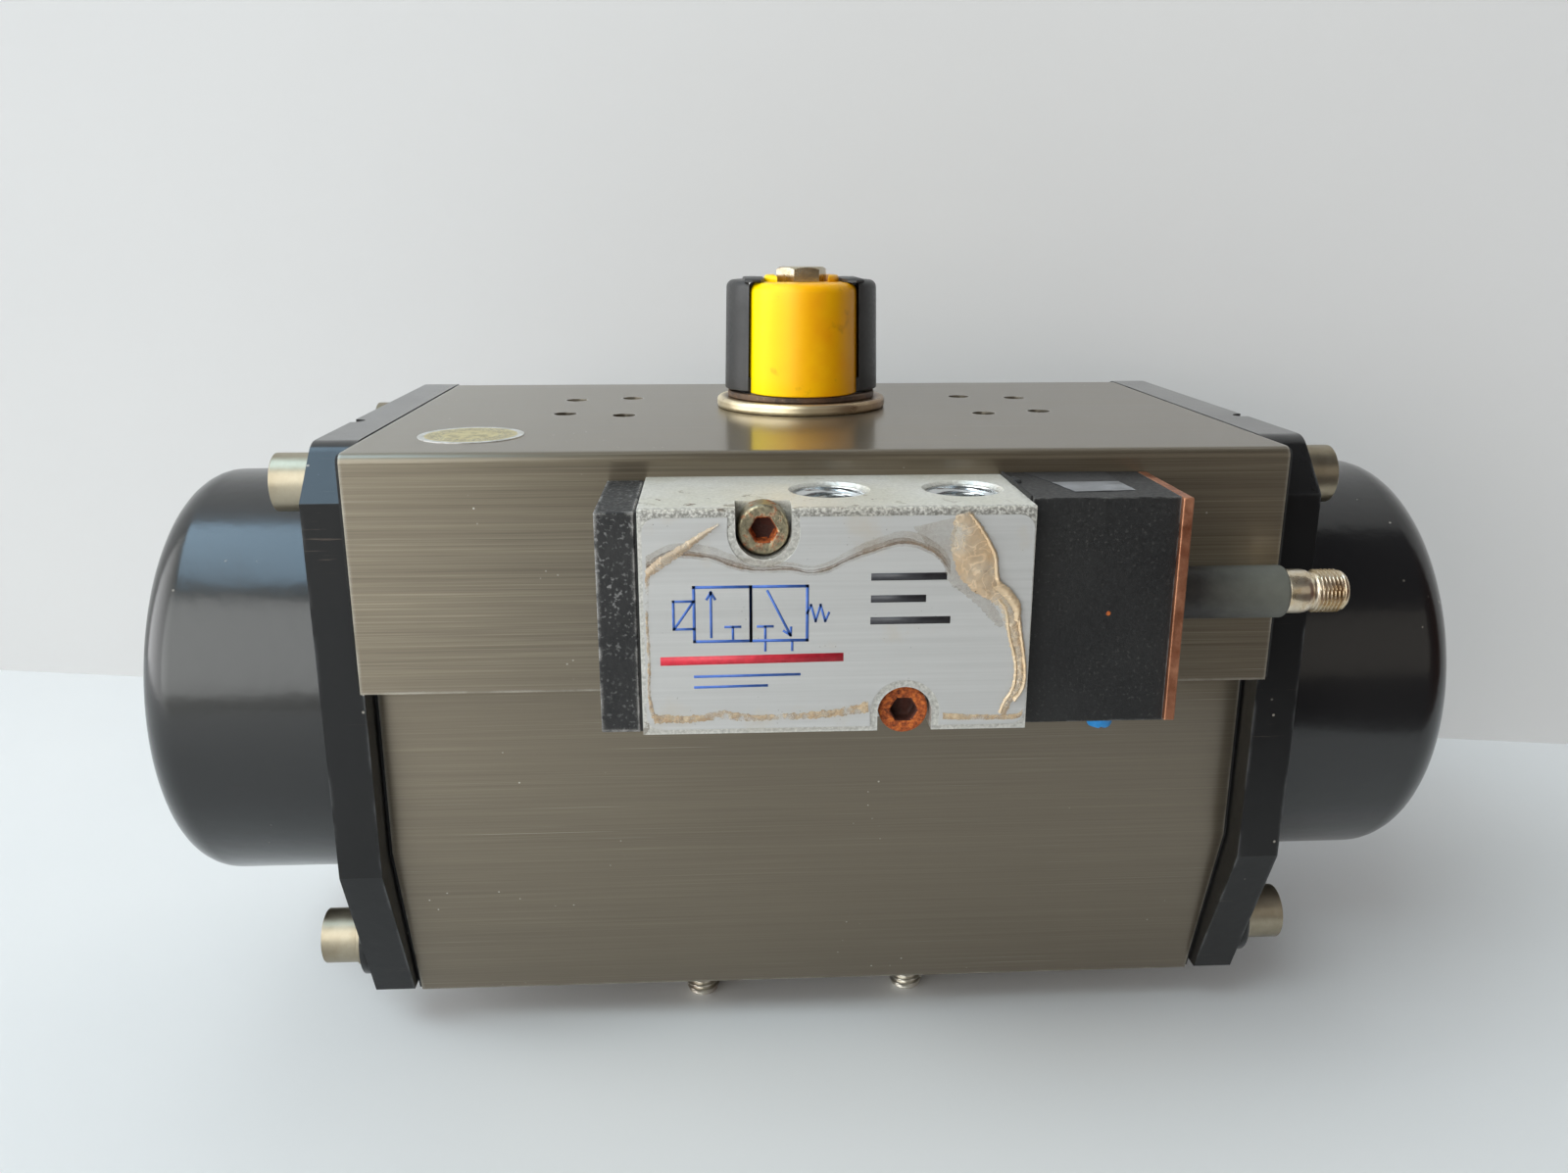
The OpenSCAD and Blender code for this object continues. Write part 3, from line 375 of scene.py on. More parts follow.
def mat_sticker():
    """Round foil sticker: silver rim, gold centre gone blotchy, worn printing reduced to a mottled ring."""
    m = Mat("sticker")
    x, y, z = m.xyz()
    a = m.noise(420, 5, 0.65)
    b = m.noise(1500, 4, 0.65)
    cx_ = m.math("ADD", x, 0.0681)
    cy_ = m.math("ADD", y, 0.0425)
    r = m.math("POWER", m.math("ADD", m.math("MULTIPLY", cx_, cx_), m.math("MULTIPLY", cy_, cy_)), 0.5)
    col = m.mix(m.rng(a, 0.35, 0.65, 0, 1), srgb(206, 196, 146), srgb(176, 162, 108))
    ring = m.math("MULTIPLY", m.rng(r, 0.0052, 0.0056, 0, 1), m.rng(r, 0.0086, 0.0082, 0, 1))
    col = m.mix(m.math("MULTIPLY", m.math("MULTIPLY", ring, m.rng(b, 0.48, 0.56, 0, 1)), 0.6), col, srgb(96, 100, 108))
    core = m.math("MULTIPLY", m.rng(r, 0.0046, 0.0043, 0, 1), m.rng(a, 0.50, 0.56, 0, 1))
    col = m.mix(m.math("MULTIPLY", core, 0.45), col, srgb(122, 116, 92))
    col = m.mix(m.rng(r, 0.0089, 0.0091, 0, 1), col, m.mix(m.rng(a, 0.4, 0.62, 0, 1), srgb(214, 216, 216), srgb(168, 166, 158)))
    m.set(color=col, metal=0.35, rough=m.rng(b, 0.3, 0.7, 0.3, 0.45), normal=m.bump(a, 0.2, 0.0002))
    return m.m


def mat_cable():
    """Heat-shrink sleeve with dusty patches and painted shade: darker near the coil, paler towards the plug."""
    m = Mat("cable_jacket")
    x = m.xyz()[0]
    a = m.noise(120, 5, 0.6)
    g = m.noise(1000, 3, 0.6)
    # painted shade: the sleeve darkens towards the coil, where it lies in shadow; the noise adds dusty patches
    dust = m.math("ADD", m.rng(x, 0.066, 0.082, 0.0, 0.8), m.math("MULTIPLY", m.math("SUBTRACT", a, 0.5), 0.9))
    col = m.mix(m.rng(g, 0.3, 0.7, 0, 1), srgb(30, 29, 27), srgb(42, 40, 37))
    col = m.mix(m.rng(dust, 0.0, 1.0, 0.0, 0.9), col, srgb(104, 106, 98))
    m.set(color=col, rough=m.rng(g, 0.3, 0.7, 0.5, 0.66), normal=m.bump(m.math("ADD", g, m.math("MULTIPLY", a, 2.0)), 0.18, 0.0003))
    return m.m


M = {
    "anodised_body": mat_anodised(),
    "black_casting": mat_casting(),
    "gasket_rubber": mat_plastic("gasket_rubber", srgb(20, 20, 20), srgb(34, 33, 32), (0.6, 0.8), 60, 1400, 0.25),
    "nickel_screw": mat_metal("nickel_screw", srgb(140, 130, 110), srgb(178, 168, 148), (0.3, 0.46), 90, stain=srgb(122, 104, 76), stain_amt=0.35, bump=0.10),
    "pinion_steel": mat_metal("pinion_steel", srgb(150, 150, 152), srgb(190, 190, 192), (0.25, 0.4), 70, stain=srgb(96, 88, 76), stain_amt=0.3, seed=1.0),
    "bearing_plastic": mat_plastic("bearing_plastic", srgb(222, 216, 198), srgb(206, 198, 176), (0.35, 0.5), 60, 900),
    "stainless": mat_metal("stainless", srgb(196, 190, 178), srgb(222, 217, 206), (0.2, 0.36), 80, stain=srgb(138, 108, 74), stain_amt=0.4, seed=2.0),
    "spring_steel": mat_plastic("spring_steel", srgb(38, 52, 74), srgb(52, 66, 90), (0.3, 0.45), 40, 700),
    "piston_alloy": mat_metal("piston_alloy", srgb(168, 170, 172), srgb(200, 202, 204), (0.3, 0.45), 60, seed=3.0),
    "indicator_black": mat_plastic("indicator_black", srgb(34, 34, 35), srgb(46, 45, 44), (0.36, 0.5), 60, 1200, 0.12, edge_c=srgb(110, 108, 104), edge_amt=0.25),
    "indicator_yellow": mat_yellow(),
    "bolt_steel": mat_metal("bolt_steel", srgb(178, 166, 140), srgb(220, 212, 196), (0.22, 0.36), 160, stain=srgb(140, 112, 76), stain_amt=0.5, seed=4.0),
    "valve_alloy": mat_valve_alloy(),
    "valve_black": mat_plastic("valve_black", srgb(16, 16, 17), srgb(26, 26, 26), (0.42, 0.6), 50, 1300, 0.22, speck=srgb(120, 120, 116), speck_amt=0.16, edge_c=srgb(150, 150, 148), edge_amt=0.6, edge_r=0.0006),
    "copper_plate": mat_metal("copper_plate", srgb(156, 98, 72), srgb(186, 132, 102), (0.34, 0.55), 220, stain=srgb(108, 58, 34), stain_amt=0.6, bump=0.3, metal=0.85, seed=5.0, edge_c=srgb(232, 178, 140)),
    "copper_winding": mat_metal("copper_winding", srgb(170, 88, 44), srgb(196, 116, 66), (0.25, 0.4), 60, grain=(9000, 400, 400)),
    "rusty_screw": mat_rusty("rusty_screw", 1.0, 2.0),
    "cable_jacket": mat_cable(),
    "connector_metal": mat_metal("connector_metal", srgb(206, 182, 140), srgb(230, 222, 206), (0.2, 0.34), 160, stain=srgb(150, 108, 62), stain_amt=0.5, seed=6.0),
    "override_blue": mat_plastic("override_blue", srgb(8, 118, 190), srgb(28, 146, 214), (0.35, 0.5), 60, 900),
    "label_foil": mat_label(),
    "sticker": mat_sticker(),
}
MAT_CAP = mat_plastic("worn_nylon", srgb(18, 18, 19), srgb(32, 32, 32), (0.5, 0.7), 80, 1100, 0.55, speck=srgb(132, 132, 132), speck_amt=0.75, edge_c=srgb(206, 204, 200), edge_amt=0.85, edge_r=0.0012)
MAT_SCREW_A = mat_rusty("screw_light_rust", 0.25, 6.0)
MAT_SOCKET = mat_rusty("socket_rust", 1.3, 3.0)
MAT_INK_BLUE = mat_ink("ink_blue", srgb(52, 92, 168))
MAT_INK_RED = mat_ink("ink_red", srgb(186, 34, 52))
MAT_INK_BLACK = mat_ink("ink_black", srgb(40, 40, 44))
MAT_FILM = mat_film("film_flap", srgb(228, 214, 190), 0.12, 0.72)
MAT_FILM_EDGE = mat_film("film_edge", srgb(224, 204, 172), 0.45, 0.95)
MAT_HAZE = mat_film("film_haze", srgb(206, 204, 200), 0.05, 0.35)
MAT_RESIDUE = mat_residue()
MAT_SCREW_B = mat_rusty("screw_rust", 1.5, 2.0)
MAT_SOCKET_D = mat_plastic("socket_dark", srgb(48, 20, 10), srgb(74, 30, 12), (0.7, 0.9), 300, 1800, 0.5)
MAT_FOIL_DARK = mat_ink("foil_dark", srgb(30, 31, 33))
MAT_FOIL_GREY = mat_metal("foil_grey", srgb(120, 122, 126), srgb(158, 160, 164), (0.3, 0.5), 200, metal=0.5)


M["port_bright"] = mat_metal("port_bright", srgb(200, 203, 204), srgb(232, 234, 234), (0.16, 0.3), 120, seed=7.0)


def mat_washer():
    """Turned washer, cream on one side and gone brown on the other, with dark brown painted shade under the indicator.
    """
    m = Mat("washer_stained")
    x, y, z = m.xyz()
    a = m.noise(150, 5, 0.65)
    r = m.math("POWER", m.math("ADD", m.math("MULTIPLY", x, x), m.math("MULTIPLY", y, y)), 0.5)
    base = m.mix(m.rng(a, 0.35, 0.65, 0, 1), srgb(214, 198, 164), srgb(236, 222, 190))
    side = m.rng(m.math("ADD", x, m.math("MULTIPLY", m.math("SUBTRACT", a, 0.5), 0.02)), -0.002, 0.016, 0.0, 0.85)
    base = m.mix(side, base, srgb(128, 96, 66))
    # painted shade: dark brown on the top face under the indicator
    ring = m.math("MULTIPLY", m.rng(r, 0.0186, 0.0172, 0, 1), m.rng(a, 0.3, 0.5, 0.5, 1))
    base = m.mix(m.math("MULTIPLY", ring, m.rng(z, 0.1283, 0.1288, 0, 0.9)), base, srgb(92, 62, 42))
    m.set(color=base, metal=0.85, rough=m.rng(a, 0.3, 0.7, 0.25, 0.42), normal=m.bump(m.noise(900, 3), 0.12, 0.0002))
    return m.m


def mat_tan(name, lo, hi, c0, c1):
    m = Mat(name)
    a = m.noise(330, 6, 0.7)
    b = m.noise(1300, 4, 0.65)
    col = m.mix(m.rng(b, 0.35, 0.65, 0, 1), c0, c1)
    m.set(color=col, rough=0.6, alpha=m.rng(a, 0.36, 0.60, lo, hi), normal=m.bump(b, 0.4, 0.0003))
    return m.m


MAT_WASHER = mat_washer()
# painted shade: the snap ring under the indicator is coloured dark brown to stand for its shadow
MAT_RING_SHADE = mat_plastic("ring_painted_shade", srgb(58, 44, 34), srgb(104, 78, 54), (0.45, 0.65), 220, 1300, 0.3, speck=srgb(150, 128, 100), speck_amt=0.4)


def mat_smear(name, c0, c1, lo, hi):
    m = Mat(name)
    a = m.noise(240, 5, 0.6)
    b = m.noise(1900, 3, 0.6)
    col = m.mix(m.rng(a, 0.35, 0.65, 0, 1), c0, c1)
    al = m.math("MULTIPLY", m.rng(a, 0.32, 0.66, lo, hi), m.rng(b, 0.35, 0.6, 0.72, 1.0))
    m.set(color=col, rough=0.5, alpha=al, normal=m.bump(b, 0.2, 0.0002))
    return m.m


SMEARS = [mat_smear("smear_edge", srgb(126, 106, 88), srgb(148, 128, 108), 0.3, 0.7), mat_smear("smear_mid", srgb(146, 130, 114), srgb(164, 150, 134), 0.16, 0.45),
          mat_smear("smear_far", srgb(176, 166, 152), srgb(186, 178, 166), 0.06, 0.26), mat_smear("smear_low", srgb(162, 152, 140), srgb(176, 168, 158), 0.04, 0.2)]
MAT_TAN = mat_tan("film_tan", 0.0, 0.8, srgb(214, 196, 166), srgb(184, 156, 122))
MAT_BEAD = mat_tan("film_bead", 0.0, 0.75, srgb(128, 108, 90), srgb(96, 76, 62))

# ---------------------------------------------------------------- geometry helpers
def add(name, bm, mat, body, smooth=35):
    me = bpy.data.meshes.new(name)
    bmesh.ops.recalc_face_normals(bm, faces=bm.faces)
    bm.to_mesh(me)
    bm.free()
    ob = bpy.data.objects.new(name, me)
    COLL.objects.link(ob)
    for m in mat if isinstance(mat, (list, tuple)) else [mat]:
        me.materials.append(m)
    for p in me.polygons:
        p.use_smooth = True
    if smooth is not None:
        me.set_sharp_from_angle(angle=math.radians(smooth))
    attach(ob, body)
    return ob


def bevel(ob, w, seg=3, angle=32, profile=0.5):
    b = ob.modifiers.new("round", "BEVEL")
    b.width = w * MM
    b.segments = seg
    b.limit_method = "ANGLE"
    b.angle_limit = math.radians(angle)
    b.harden_normals = False
    b.profile = profile
    b.use_clamp_overlap = True
    return ob


def skin(node, w=0.3, seg=2, angle=32, mat=None, name=None, smooth=38):
    """The CAD node's own surface with its coplanar triangles joined and its edges rounded."""
    src = frame["nodes"][node]
    bm = bmesh.new()
    bm.from_mesh(src.data)
    bmesh.ops.remove_doubles(bm, verts=bm.verts, dist=2e-7)
    bmesh.ops.dissolve_limit(bm, angle_limit=math.radians(0.6), use_dissolve_boundaries=False, verts=bm.verts, edges=bm.edges, delimit=set())
    ob = add(name or "v_" + node, bm, mat or M[SLOT_OF[node]], BODY_OF[node], smooth)
    if w:
        bevel(ob, w, seg, angle)
        wn_ = ob.modifiers.new("flat", "WEIGHTED_NORMAL")
        wn_.keep_sharp = True
        wn_.weight = 80
    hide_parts(node)
    return ob


def ring_stack(bm, rings, close=True, cap0=True, cap1=True):
    """Skins a list of closed rings of equal length with quads."""
    rows = [[bm.verts.new(p) for p in r] for r in rings]
    n = len(rows[0])
    for a, b in zip(rows, rows[1:]):
        for i in range(n):
            bm.faces.new((a[i], a[(i + 1) % n], b[(i + 1) % n], b[i]))
    if cap0:
        bm.faces.new(rows[0][::-1])
    if cap1:
        bm.faces.new(rows[-1])
    return rows


def frame_for(axis):
    a = Vector(axis).normalized()
    u = a.orthogonal().normalized()
    return a, u, a.cross(u)


def lathe(bm, prof, origin, axis, n=64, close=False):
    """Revolves (distance along axis, radius) pairs about the axis; distances and radii in mm. close joins last to first."""
    a, u, v = frame_for(axis)
    o = Vector(origin) * MM
    rows = []
    for d, r in prof:
        if r < 1e-6:
            rows.append([bm.verts.new(o + a * d * MM)])
        else:
            rows.append([bm.verts.new(o + a * d * MM + (u * math.cos(2 * math.pi * i / n) + v * math.sin(2 * math.pi * i / n)) * r * MM) for i in range(n)])
    pairs = list(zip(rows, rows[1:])) + ([(rows[-1], rows[0])] if close else [])
    for p, q in pairs:
        for i in range(n):
            j = (i + 1) % n
            if len(p) == 1 and len(q) == 1:
                continue
            if len(p) == 1:
                bm.faces.new((p[0], q[j], q[i]))
            elif len(q) == 1:
                bm.faces.new((p[i], p[j], q[0]))
            else:
                bm.faces.new((p[i], p[j], q[j], q[i]))


def rounded(r, w=0.4, k=3):
    """Corner points (along, radius) for a rod's end rounded by w, from the side to the face."""
    return [(w * math.sin(math.pi / 2 * i / k), r - w + w * math.cos(math.pi / 2 * i / k)) for i in range(k + 1)]


def thread_sleeve(bm, origin, axis, length, r_out, r_root, pitch, seg=40, inner=None, taper=0.0, runout=0.6):
    """A screw thread as one helical surface from origin along axis, closed by caps; inner gives an inside thread's wall radius."""
    a, u, v = frame_for(axis)
    o = Vector(origin) * MM
    per = 8
    rows_n = max(2, int(round(length / pitch * per)))
    rings = []
    for k in range(rows_n + 1):
        z = length * k / rows_n
        ring = []
        for i in range(seg):
            ph = (z / pitch - i / seg) % 1.0
            t = 1 - abs(2 * ph - 1)
            t = min(1.0, max(0.0, (t - 0.12) / 0.76))
            t = t * t * (3 - 2 * t)
            fade = min(1.0, z / runout, (length - z) / runout) if runout else 1.0
            if inner is None:
                r = r_root + (r_out - r_root) * t * fade - taper * max(0.0, 1 - (length - z) / 0.9)
            else:
                r = r_out + (r_root - r_out) * t * fade
            ang = 2 * math.pi * i / seg
            ring.append(o + a * z * MM + (u * math.cos(ang) + v * math.sin(ang)) * r * MM)
        rings.append(ring)
    if inner is None:
        ring_stack(bm, rings)
    else:
        rows = ring_stack(bm, rings, cap0=False, cap1=False)
        outer = []
        for z in (length, 0.0):
            outer.append([bm.verts.new(o + a * z * MM + (u * math.cos(2 * math.pi * i / seg) + v * math.sin(2 * math.pi * i / seg)) * inner * MM) for i in range(seg)])
        seq = [rows[-1], outer[0], outer[1], rows[0]]
        for p, q in zip(seq, seq[1:]):
            for i in range(seg):
                bm.faces.new((p[i], p[(i + 1) % seg], q[(i + 1) % seg], q[i]))


def stadium(hl, r, n=14):
    pts = [((hl - r) + r * math.cos(t), r * math.sin(t)) for t in [math.radians(-90 + 180 * i / n) for i in range(n + 1)]]
    return pts + [(-(hl - r) + r * math.cos(t), r * math.sin(t)) for t in [math.radians(90 + 180 * i / n) for i in range(n + 1)]]


def box_mm(bm, x0, x1, y0, y1, z0, z1):
    g = bmesh.ops.create_cube(bm, size=1.0)
    for v in g["verts"]:
        v.co = Vector(((x0 if v.co.x < 0 else x1) * MM, (y0 if v.co.y < 0 else y1) * MM, (z0 if v.co.z < 0 else z1) * MM))
    return g["verts"]


# ---------------------------------------------------------------- pieces that follow the CAD surface
DONE = set()
for node, w, seg in [("body", 0.6, 2), ("end_cap_left", 1.3, 3), ("end_cap_right", 1.3, 3), ("end_cap_gasket_left", 0, 0), ("end_cap_gasket_right", 0, 0),
                     ("end_cap_screws", 0.6, 3), ("end_cap_washers", 0.25, 2), ("top_washer", 0.75, 3), ("snap_ring", 0.2, 2),
                     ("stop_nuts", 0.5, 2), ("stop_seals", 0.3, 2), ("valve_body", 0.7, 3), ("valve_end_gasket", 0, 0), ("pilot_gasket", 0, 0),
                     ("pilot_housing", 0.5, 3), ("pilot_end_plate", 0.35, 2), ("valve_cap_screws", 0.15, 2), ("pilot_screws", 0, 0),
                     ("valve_end_cap", 1.1, 4), ("valve_screws", 0.45, 3), ("cable_sleeve", 0.7, 4),
                     ("valve_label", 0, 0), ("top_label", 0, 0), ("connector_insert", 0.2, 2), ("top_washer", 0, 0)]:
    if node in DONE:
        continue
    skin(node, w, seg, mat={"valve_end_cap": MAT_CAP, "top_washer": MAT_WASHER, "snap_ring": MAT_RING_SHADE, "valve_screws": [MAT_SCREW_A, MAT_SCREW_B, MAT_SOCKET, MAT_SOCKET_D]}.get(node))
    DONE.add(node)

# rust differs between the two valve screws and is darkest in their sockets
me = bpy.data.objects["v_valve_screws"].data
for p in me.polygons:
    c = p.center / MM
    upper = c.z > 102
    ax, az = (-12, 118) if upper else (12, 86)
    inside = math.hypot(c.x - ax, c.z - az) < 2.25 and c.y > -90.85
    p.material_index = (2 if inside and c.y < -88.4 else 3 if inside and c.y < -88.2 else 0) if upper else (3 if inside and c.y < -88.2 else 1)


def boolean(ob, cutter, op="DIFFERENCE"):
    """Applies a boolean with a throwaway object and keeps the result as the mesh."""
    md = ob.modifiers.new("b", "BOOLEAN")
    md.operation = op
    md.solver = "EXACT"
    md.object = cutter
    dg = bpy.context.evaluated_depsgraph_get()
    new = bpy.data.meshes.new_from_object(ob.evaluated_get(dg))
    ob.modifiers.clear()
    old = ob.data
    ob.data = new
    bpy.data.meshes.remove(old)
    bpy.data.objects.remove(cutter, do_unlink=True)
    return ob


def raw(name, bm):
    me = bpy.data.meshes.new(name)
    bmesh.ops.recalc_face_normals(bm, faces=bm.faces)
    bm.to_mesh(me)
    bm.free()
    ob = bpy.data.objects.new(name, me)
    COLL.objects.link(ob)
    return ob


def finish_piece(ob, mat, body, smooth=35):
    ob.data.materials.clear()
    for m in mat if isinstance(mat, (list, tuple)) else [mat]:
        ob.data.materials.append(m)
    for p in ob.data.polygons:
        p.use_smooth = True
    ob.data.set_sharp_from_angle(angle=math.radians(smooth))
    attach(ob, body)
    return ob


# ---------------------------------------------------------------- indicator: tapered, rounded mouldings
def level(z, pts):
    return [Vector((x * MM, y * MM, z * MM)) for x, y in pts]


def moulded(z0, z1, rt, rb, outline):
    """Rings from z0 to z1 with a rounded top edge rt and bottom edge rb; outline(z, inset) gives the points."""
    rings = []
    for k in range(4):
        t = math.pi / 2 * k / 4
        rings.append(level(z0 + rb * (1 - math.sin(t)) if k else z0, outline(z0, rb * (1 - math.sin(t)))) if k == 0 else level(z0 + rb * (1 - math.cos(t)), outline(z0, rb * (1 - math.sin(t)))))
    for k in range(7):
        z = z0 + rb + (z1 - rt - z0 - rb) * k / 6
        rings.append(level(z, outline(z, 0)))
    for k in range(1, 7):
        t = math.pi / 2 * k / 6
        z = z1 - rt + rt * math.sin(t)
        rings.append(level(z, outline(z, rt * (1 - math.cos(t)))))
    return rings


def yellow_outline(z, d):
    f = (z - 130.5) / 24.2
    r = 12.46 - 0.42 * f
    hl = 18.15 - 0.42 * f
    return [(-y, x) for x, y in stadium(hl - d, max(r - d, 1), 22)]


bm = bmesh.new()
ring_stack(bm, moulded(130.5, 154.7, 2.1, 0.35, yellow_outline))
ptr = raw("v_indicator_pointer", bm)
bm = bmesh.new()
box_mm(bm, -30, 30, -9.35, 9.35, 128, 134)
boolean(ptr, raw("c", bm))
bm = bmesh.new()
n_ = 48
key = [(9.1 * math.cos(2 * math.pi * i / n_), max(-7.1, min(7.1, 9.1 * math.sin(2 * math.pi * i / n_)))) for i in range(n_)]
ring_stack(bm, [level(128, key), level(146.6, key)])
boolean(ptr, raw("c", bm))
for r_, z0_, z1_ in ((3.3, 140, 160), (6.4, 154.55, 160)):
    bm = bmesh.new()
    lathe(bm, [(0, 0), (0, r_), (z1_ - z0_, r_), (z1_ - z0_, 0)], (0, 0, z0_), (0, 0, 1), 48)
    boolean(ptr, raw("c", bm))
# ears beside the bolt head
for sgn in (-1, 1):
    bm = bmesh.new()
    ring = [(sgn * x, y) for x, y in [(5.75, -5.9), (7.0, -4.9), (8.0, -3.2), (8.45, -1.2), (8.45, 1.2), (8.0, 3.2), (7.0, 4.9), (5.75, 5.9), (5.75, 3), (6.4, 0), (5.75, -3)]]
    mid_ = (sgn * 7.0, 0)
    rings = [level(154.2, ring), level(155.5, ring)]
    for k in range(1, 5):
        t = math.pi / 2 * k / 4
        rings.append(level(155.35 + 0.8 * math.sin(t), [(mid_[0] + (x - mid_[0]) * (1 - 0.35 * (1 - math.cos(t))), y * (1 - 0.25 * (1 - math.cos(t)))) for x, y in ring]))
    ring_stack(bm, rings)
    boolean(ptr, raw("c", bm), "UNION")
finish_piece(ptr, M["indicator_yellow"], "drive", 40)
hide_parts("indicator_pointer")


def lobe_outline(sgn):
    def f(z, d):
        g = (z - 130.5) / 24.6
        r = 12.25 - 0.45 * g
        cxx = 5.3 - 0.1 * g
        xi = 12.50 - 0.40 * g + 0.12 * d
        r -= d
        a0 = math.acos(min(0.99, (xi - cxx) / r))
        arc = [(sgn * (cxx + r * math.cos(t)), r * math.sin(t)) for t in [-a0 + 2 * a0 * i / 24 for i in range(25)]]
        y1 = arc[-1][1]
        return arc + [(sgn * xi, y1 * (1 - 2 * i / 6)) for i in range(1, 6)]
    return f


bm = bmesh.new()
for sgn in (-1, 1):
    ring_stack(bm, moulded(130.9, 155.1, 1.6, 0.3, lobe_outline(sgn)))
cap = raw("v_indicator_cap", bm)
for sgn in (-1, 1):
    bm = bmesh.new()
    lip = [(sgn * x, y) for x, y in [(8.75, -8.2), (9.6, -10.2), (11.4, -11.0), (13.2, -10.4), (13.2, 10.4), (11.4, 11.0), (9.6, 10.2), (8.75, 8.2)]]
    ring_stack(bm, [level(154.76, lip), level(155.15, lip), level(155.5, [(x * 0.985, y * 0.95) for x, y in lip])])
    boolean(cap, raw("c", bm), "UNION")
bm = bmesh.new()
box_mm(bm, -13.0, 13.0, -9.3, 9.3, 130.9, 133.9)
boolean(cap, raw("c", bm), "UNION")
bm = bmesh.new()
ring_stack(bm, [level(128, key), level(140, key)])
boolean(cap, raw("c", bm))
finish_piece(cap, M["indicator_black"], "drive", 40)
bevel(cap, 0.18, 2, 40)
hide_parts("indicator_cap")

# hex head with a turned 30 degree chamfer, washer face and threaded shank
bm = bmesh.new()
hexa = [(5 / math.cos(math.radians(30)) * math.cos(math.radians(10 + 60 * i)), 5 / math.cos(math.radians(30)) * math.sin(math.radians(10 + 60 * i))) for i in range(6)]
ring_stack(bm, [level(154.62, hexa), level(157.9, hexa)])
bolt = raw("v_indicator_bolt", bm)
bm = bmesh.new()
lathe(bm, [(0, 0), (0, 5.6), (0.25, 6.0), (2.6, 6.0), (3.28, 4.85), (3.28, 0)], (0, 0, 154.62), (0, 0, 1), 64)
boolean(bolt, raw("c", bm), "INTERSECT")
bm = bmesh.new()
thread_sleeve(bm, (0, 0, 134.5), (0, 0, 1), 20.3, 2.97, 2.5, 1.0, 32)
boolean(bolt, raw("c", bm), "UNION")
finish_piece(bolt, M["bolt_steel"], "drive", 25)
bevel(bolt, 0.12, 2, 28)
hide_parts("indicator_bolt")
DONE |= {"indicator_pointer", "indicator_cap", "indicator_bolt"}


# ---------------------------------------------------------------- threaded and turned pieces
def turned(name, node, spans, axis, body, mat, seg=48, smooth=35, close_in=None):
    """One skin round an axis. spans: ("p", along, radius) for a plain ring, ("h", along, across flats) for a hex ring,
    ("t", start, end, outer, root, pitch) for a thread.
    """
    a, u, v = frame_for(axis[1])
    o = Vector(axis[0]) * MM
    rings = []

    def circ(al, rf):
        return [o + a * al * MM + (u * math.cos(2 * math.pi * i / seg) + v * math.sin(2 * math.pi * i / seg)) * rf(i) * MM for i in range(seg)]

    def hexr(af, i):
        t = (2 * math.pi * i / seg) % (math.pi / 3) - math.pi / 6
        return af / 2 / math.cos(t)
    for sp in spans:
        if sp[0] == "p":
            rings.append(circ(sp[1], lambda i, r=sp[2]: r))
        elif sp[0] == "h":
            rings.append(circ(sp[1], lambda i, r=sp[2]: hexr(r, i)))
        else:
            _, s0, s1, ro, rr, pitch = sp
            k_n = max(2, int(abs(s1 - s0) / pitch * 9))
            for k in range(k_n + 1):
                al = s0 + (s1 - s0) * k / k_n
                dist = min(abs(al - s0), abs(s1 - al))
                fade = min(1.0, dist / (0.5 * pitch))

                def rf(i, al=al, fade=fade):
                    ph = (al / pitch - i / seg) % 1.0
                    t = 1 - abs(2 * ph - 1)
                    t = min(1.0, max(0.0, (t - 0.14) / 0.72))
                    return rr + (ro - rr) * t * (0.35 + 0.65 * fade)
                rings.append(circ(al, rf))
    bm = bmesh.new()
    ring_stack(bm, rings)
    ob = add(name, bm, mat, body, smooth)
    return ob


# M8 connector: collar, relief, thread, hollow to the insert
ob = turned("v_connector_shell", "connector_shell",
            [("p", 83.0, 3.75), ("p", 83.1, 3.95), ("p", 83.35, 4.05), ("p", 86.2, 4.05), ("p", 86.6, 4.0), ("p", 87.2, 3.86), ("p", 87.6, 3.62), ("p", 87.8, 3.5),
             ("p", 88.2, 3.5), ("t", 88.3, 93.5, 3.97, 3.46, 0.72), ("p", 93.75, 3.62), ("p", 94.05, 3.4), ("p", 94.2, 3.28), ("p", 94.2, 3.14), ("p", 94.1, 3.1), ("p", 84.6, 3.1)],
            ((0, -76.8, 102.2), (1, 0, 0)), "casing", M["connector_metal"], 64)
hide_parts("connector_shell")

# M8 studs: full thread below the mounting face
bm_objs = []
for k, (x_, y_) in enumerate([(-24.749, -24.749), (24.749, -24.749), (24.749, 24.749), (-24.749, 24.749)]):
    ob = turned("v_stud_%d" % k, "mounting_studs",
                [("p", 0, 3.0), ("p", 0.4, 3.38), ("p", 13.6, 3.38), ("p", 13.9, 3.5), ("t", 14.0, 24.9, 3.97, 3.35, 1.25), ("p", 25.4, 3.5), ("p", 26.0, 2.9)],
                ((x_, y_, 14), (0, 0, -1)), "casing", M["stainless"], 40)
    bm_objs.append(ob)
for ob in bm_objs:
    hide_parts("mounting_studs")

# travel stop screws with hex sockets, threaded where they show behind the nuts
for k, x_ in enumerate((-25, 25)):
    ob = turned("v_stop_screw_%d" % k, "stop_screws",
                [("p", 4.1, 3.2), ("p", 4.5, 3.75), ("p", 4.9, 3.95), ("p", 60.4, 3.95), ("t", 60.8, 67.4, 3.97, 3.4, 1.25), ("p", 67.75, 3.45), ("p", 68.0, 3.1), ("p", 67.98, 2.5),
                 ("h", 67.7, 4.05), ("h", 63.6, 4.0)],
                ((x_, 0, 89), (0, 1, 0)), "casing", M["stainless"], 48)
    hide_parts("stop_screws")

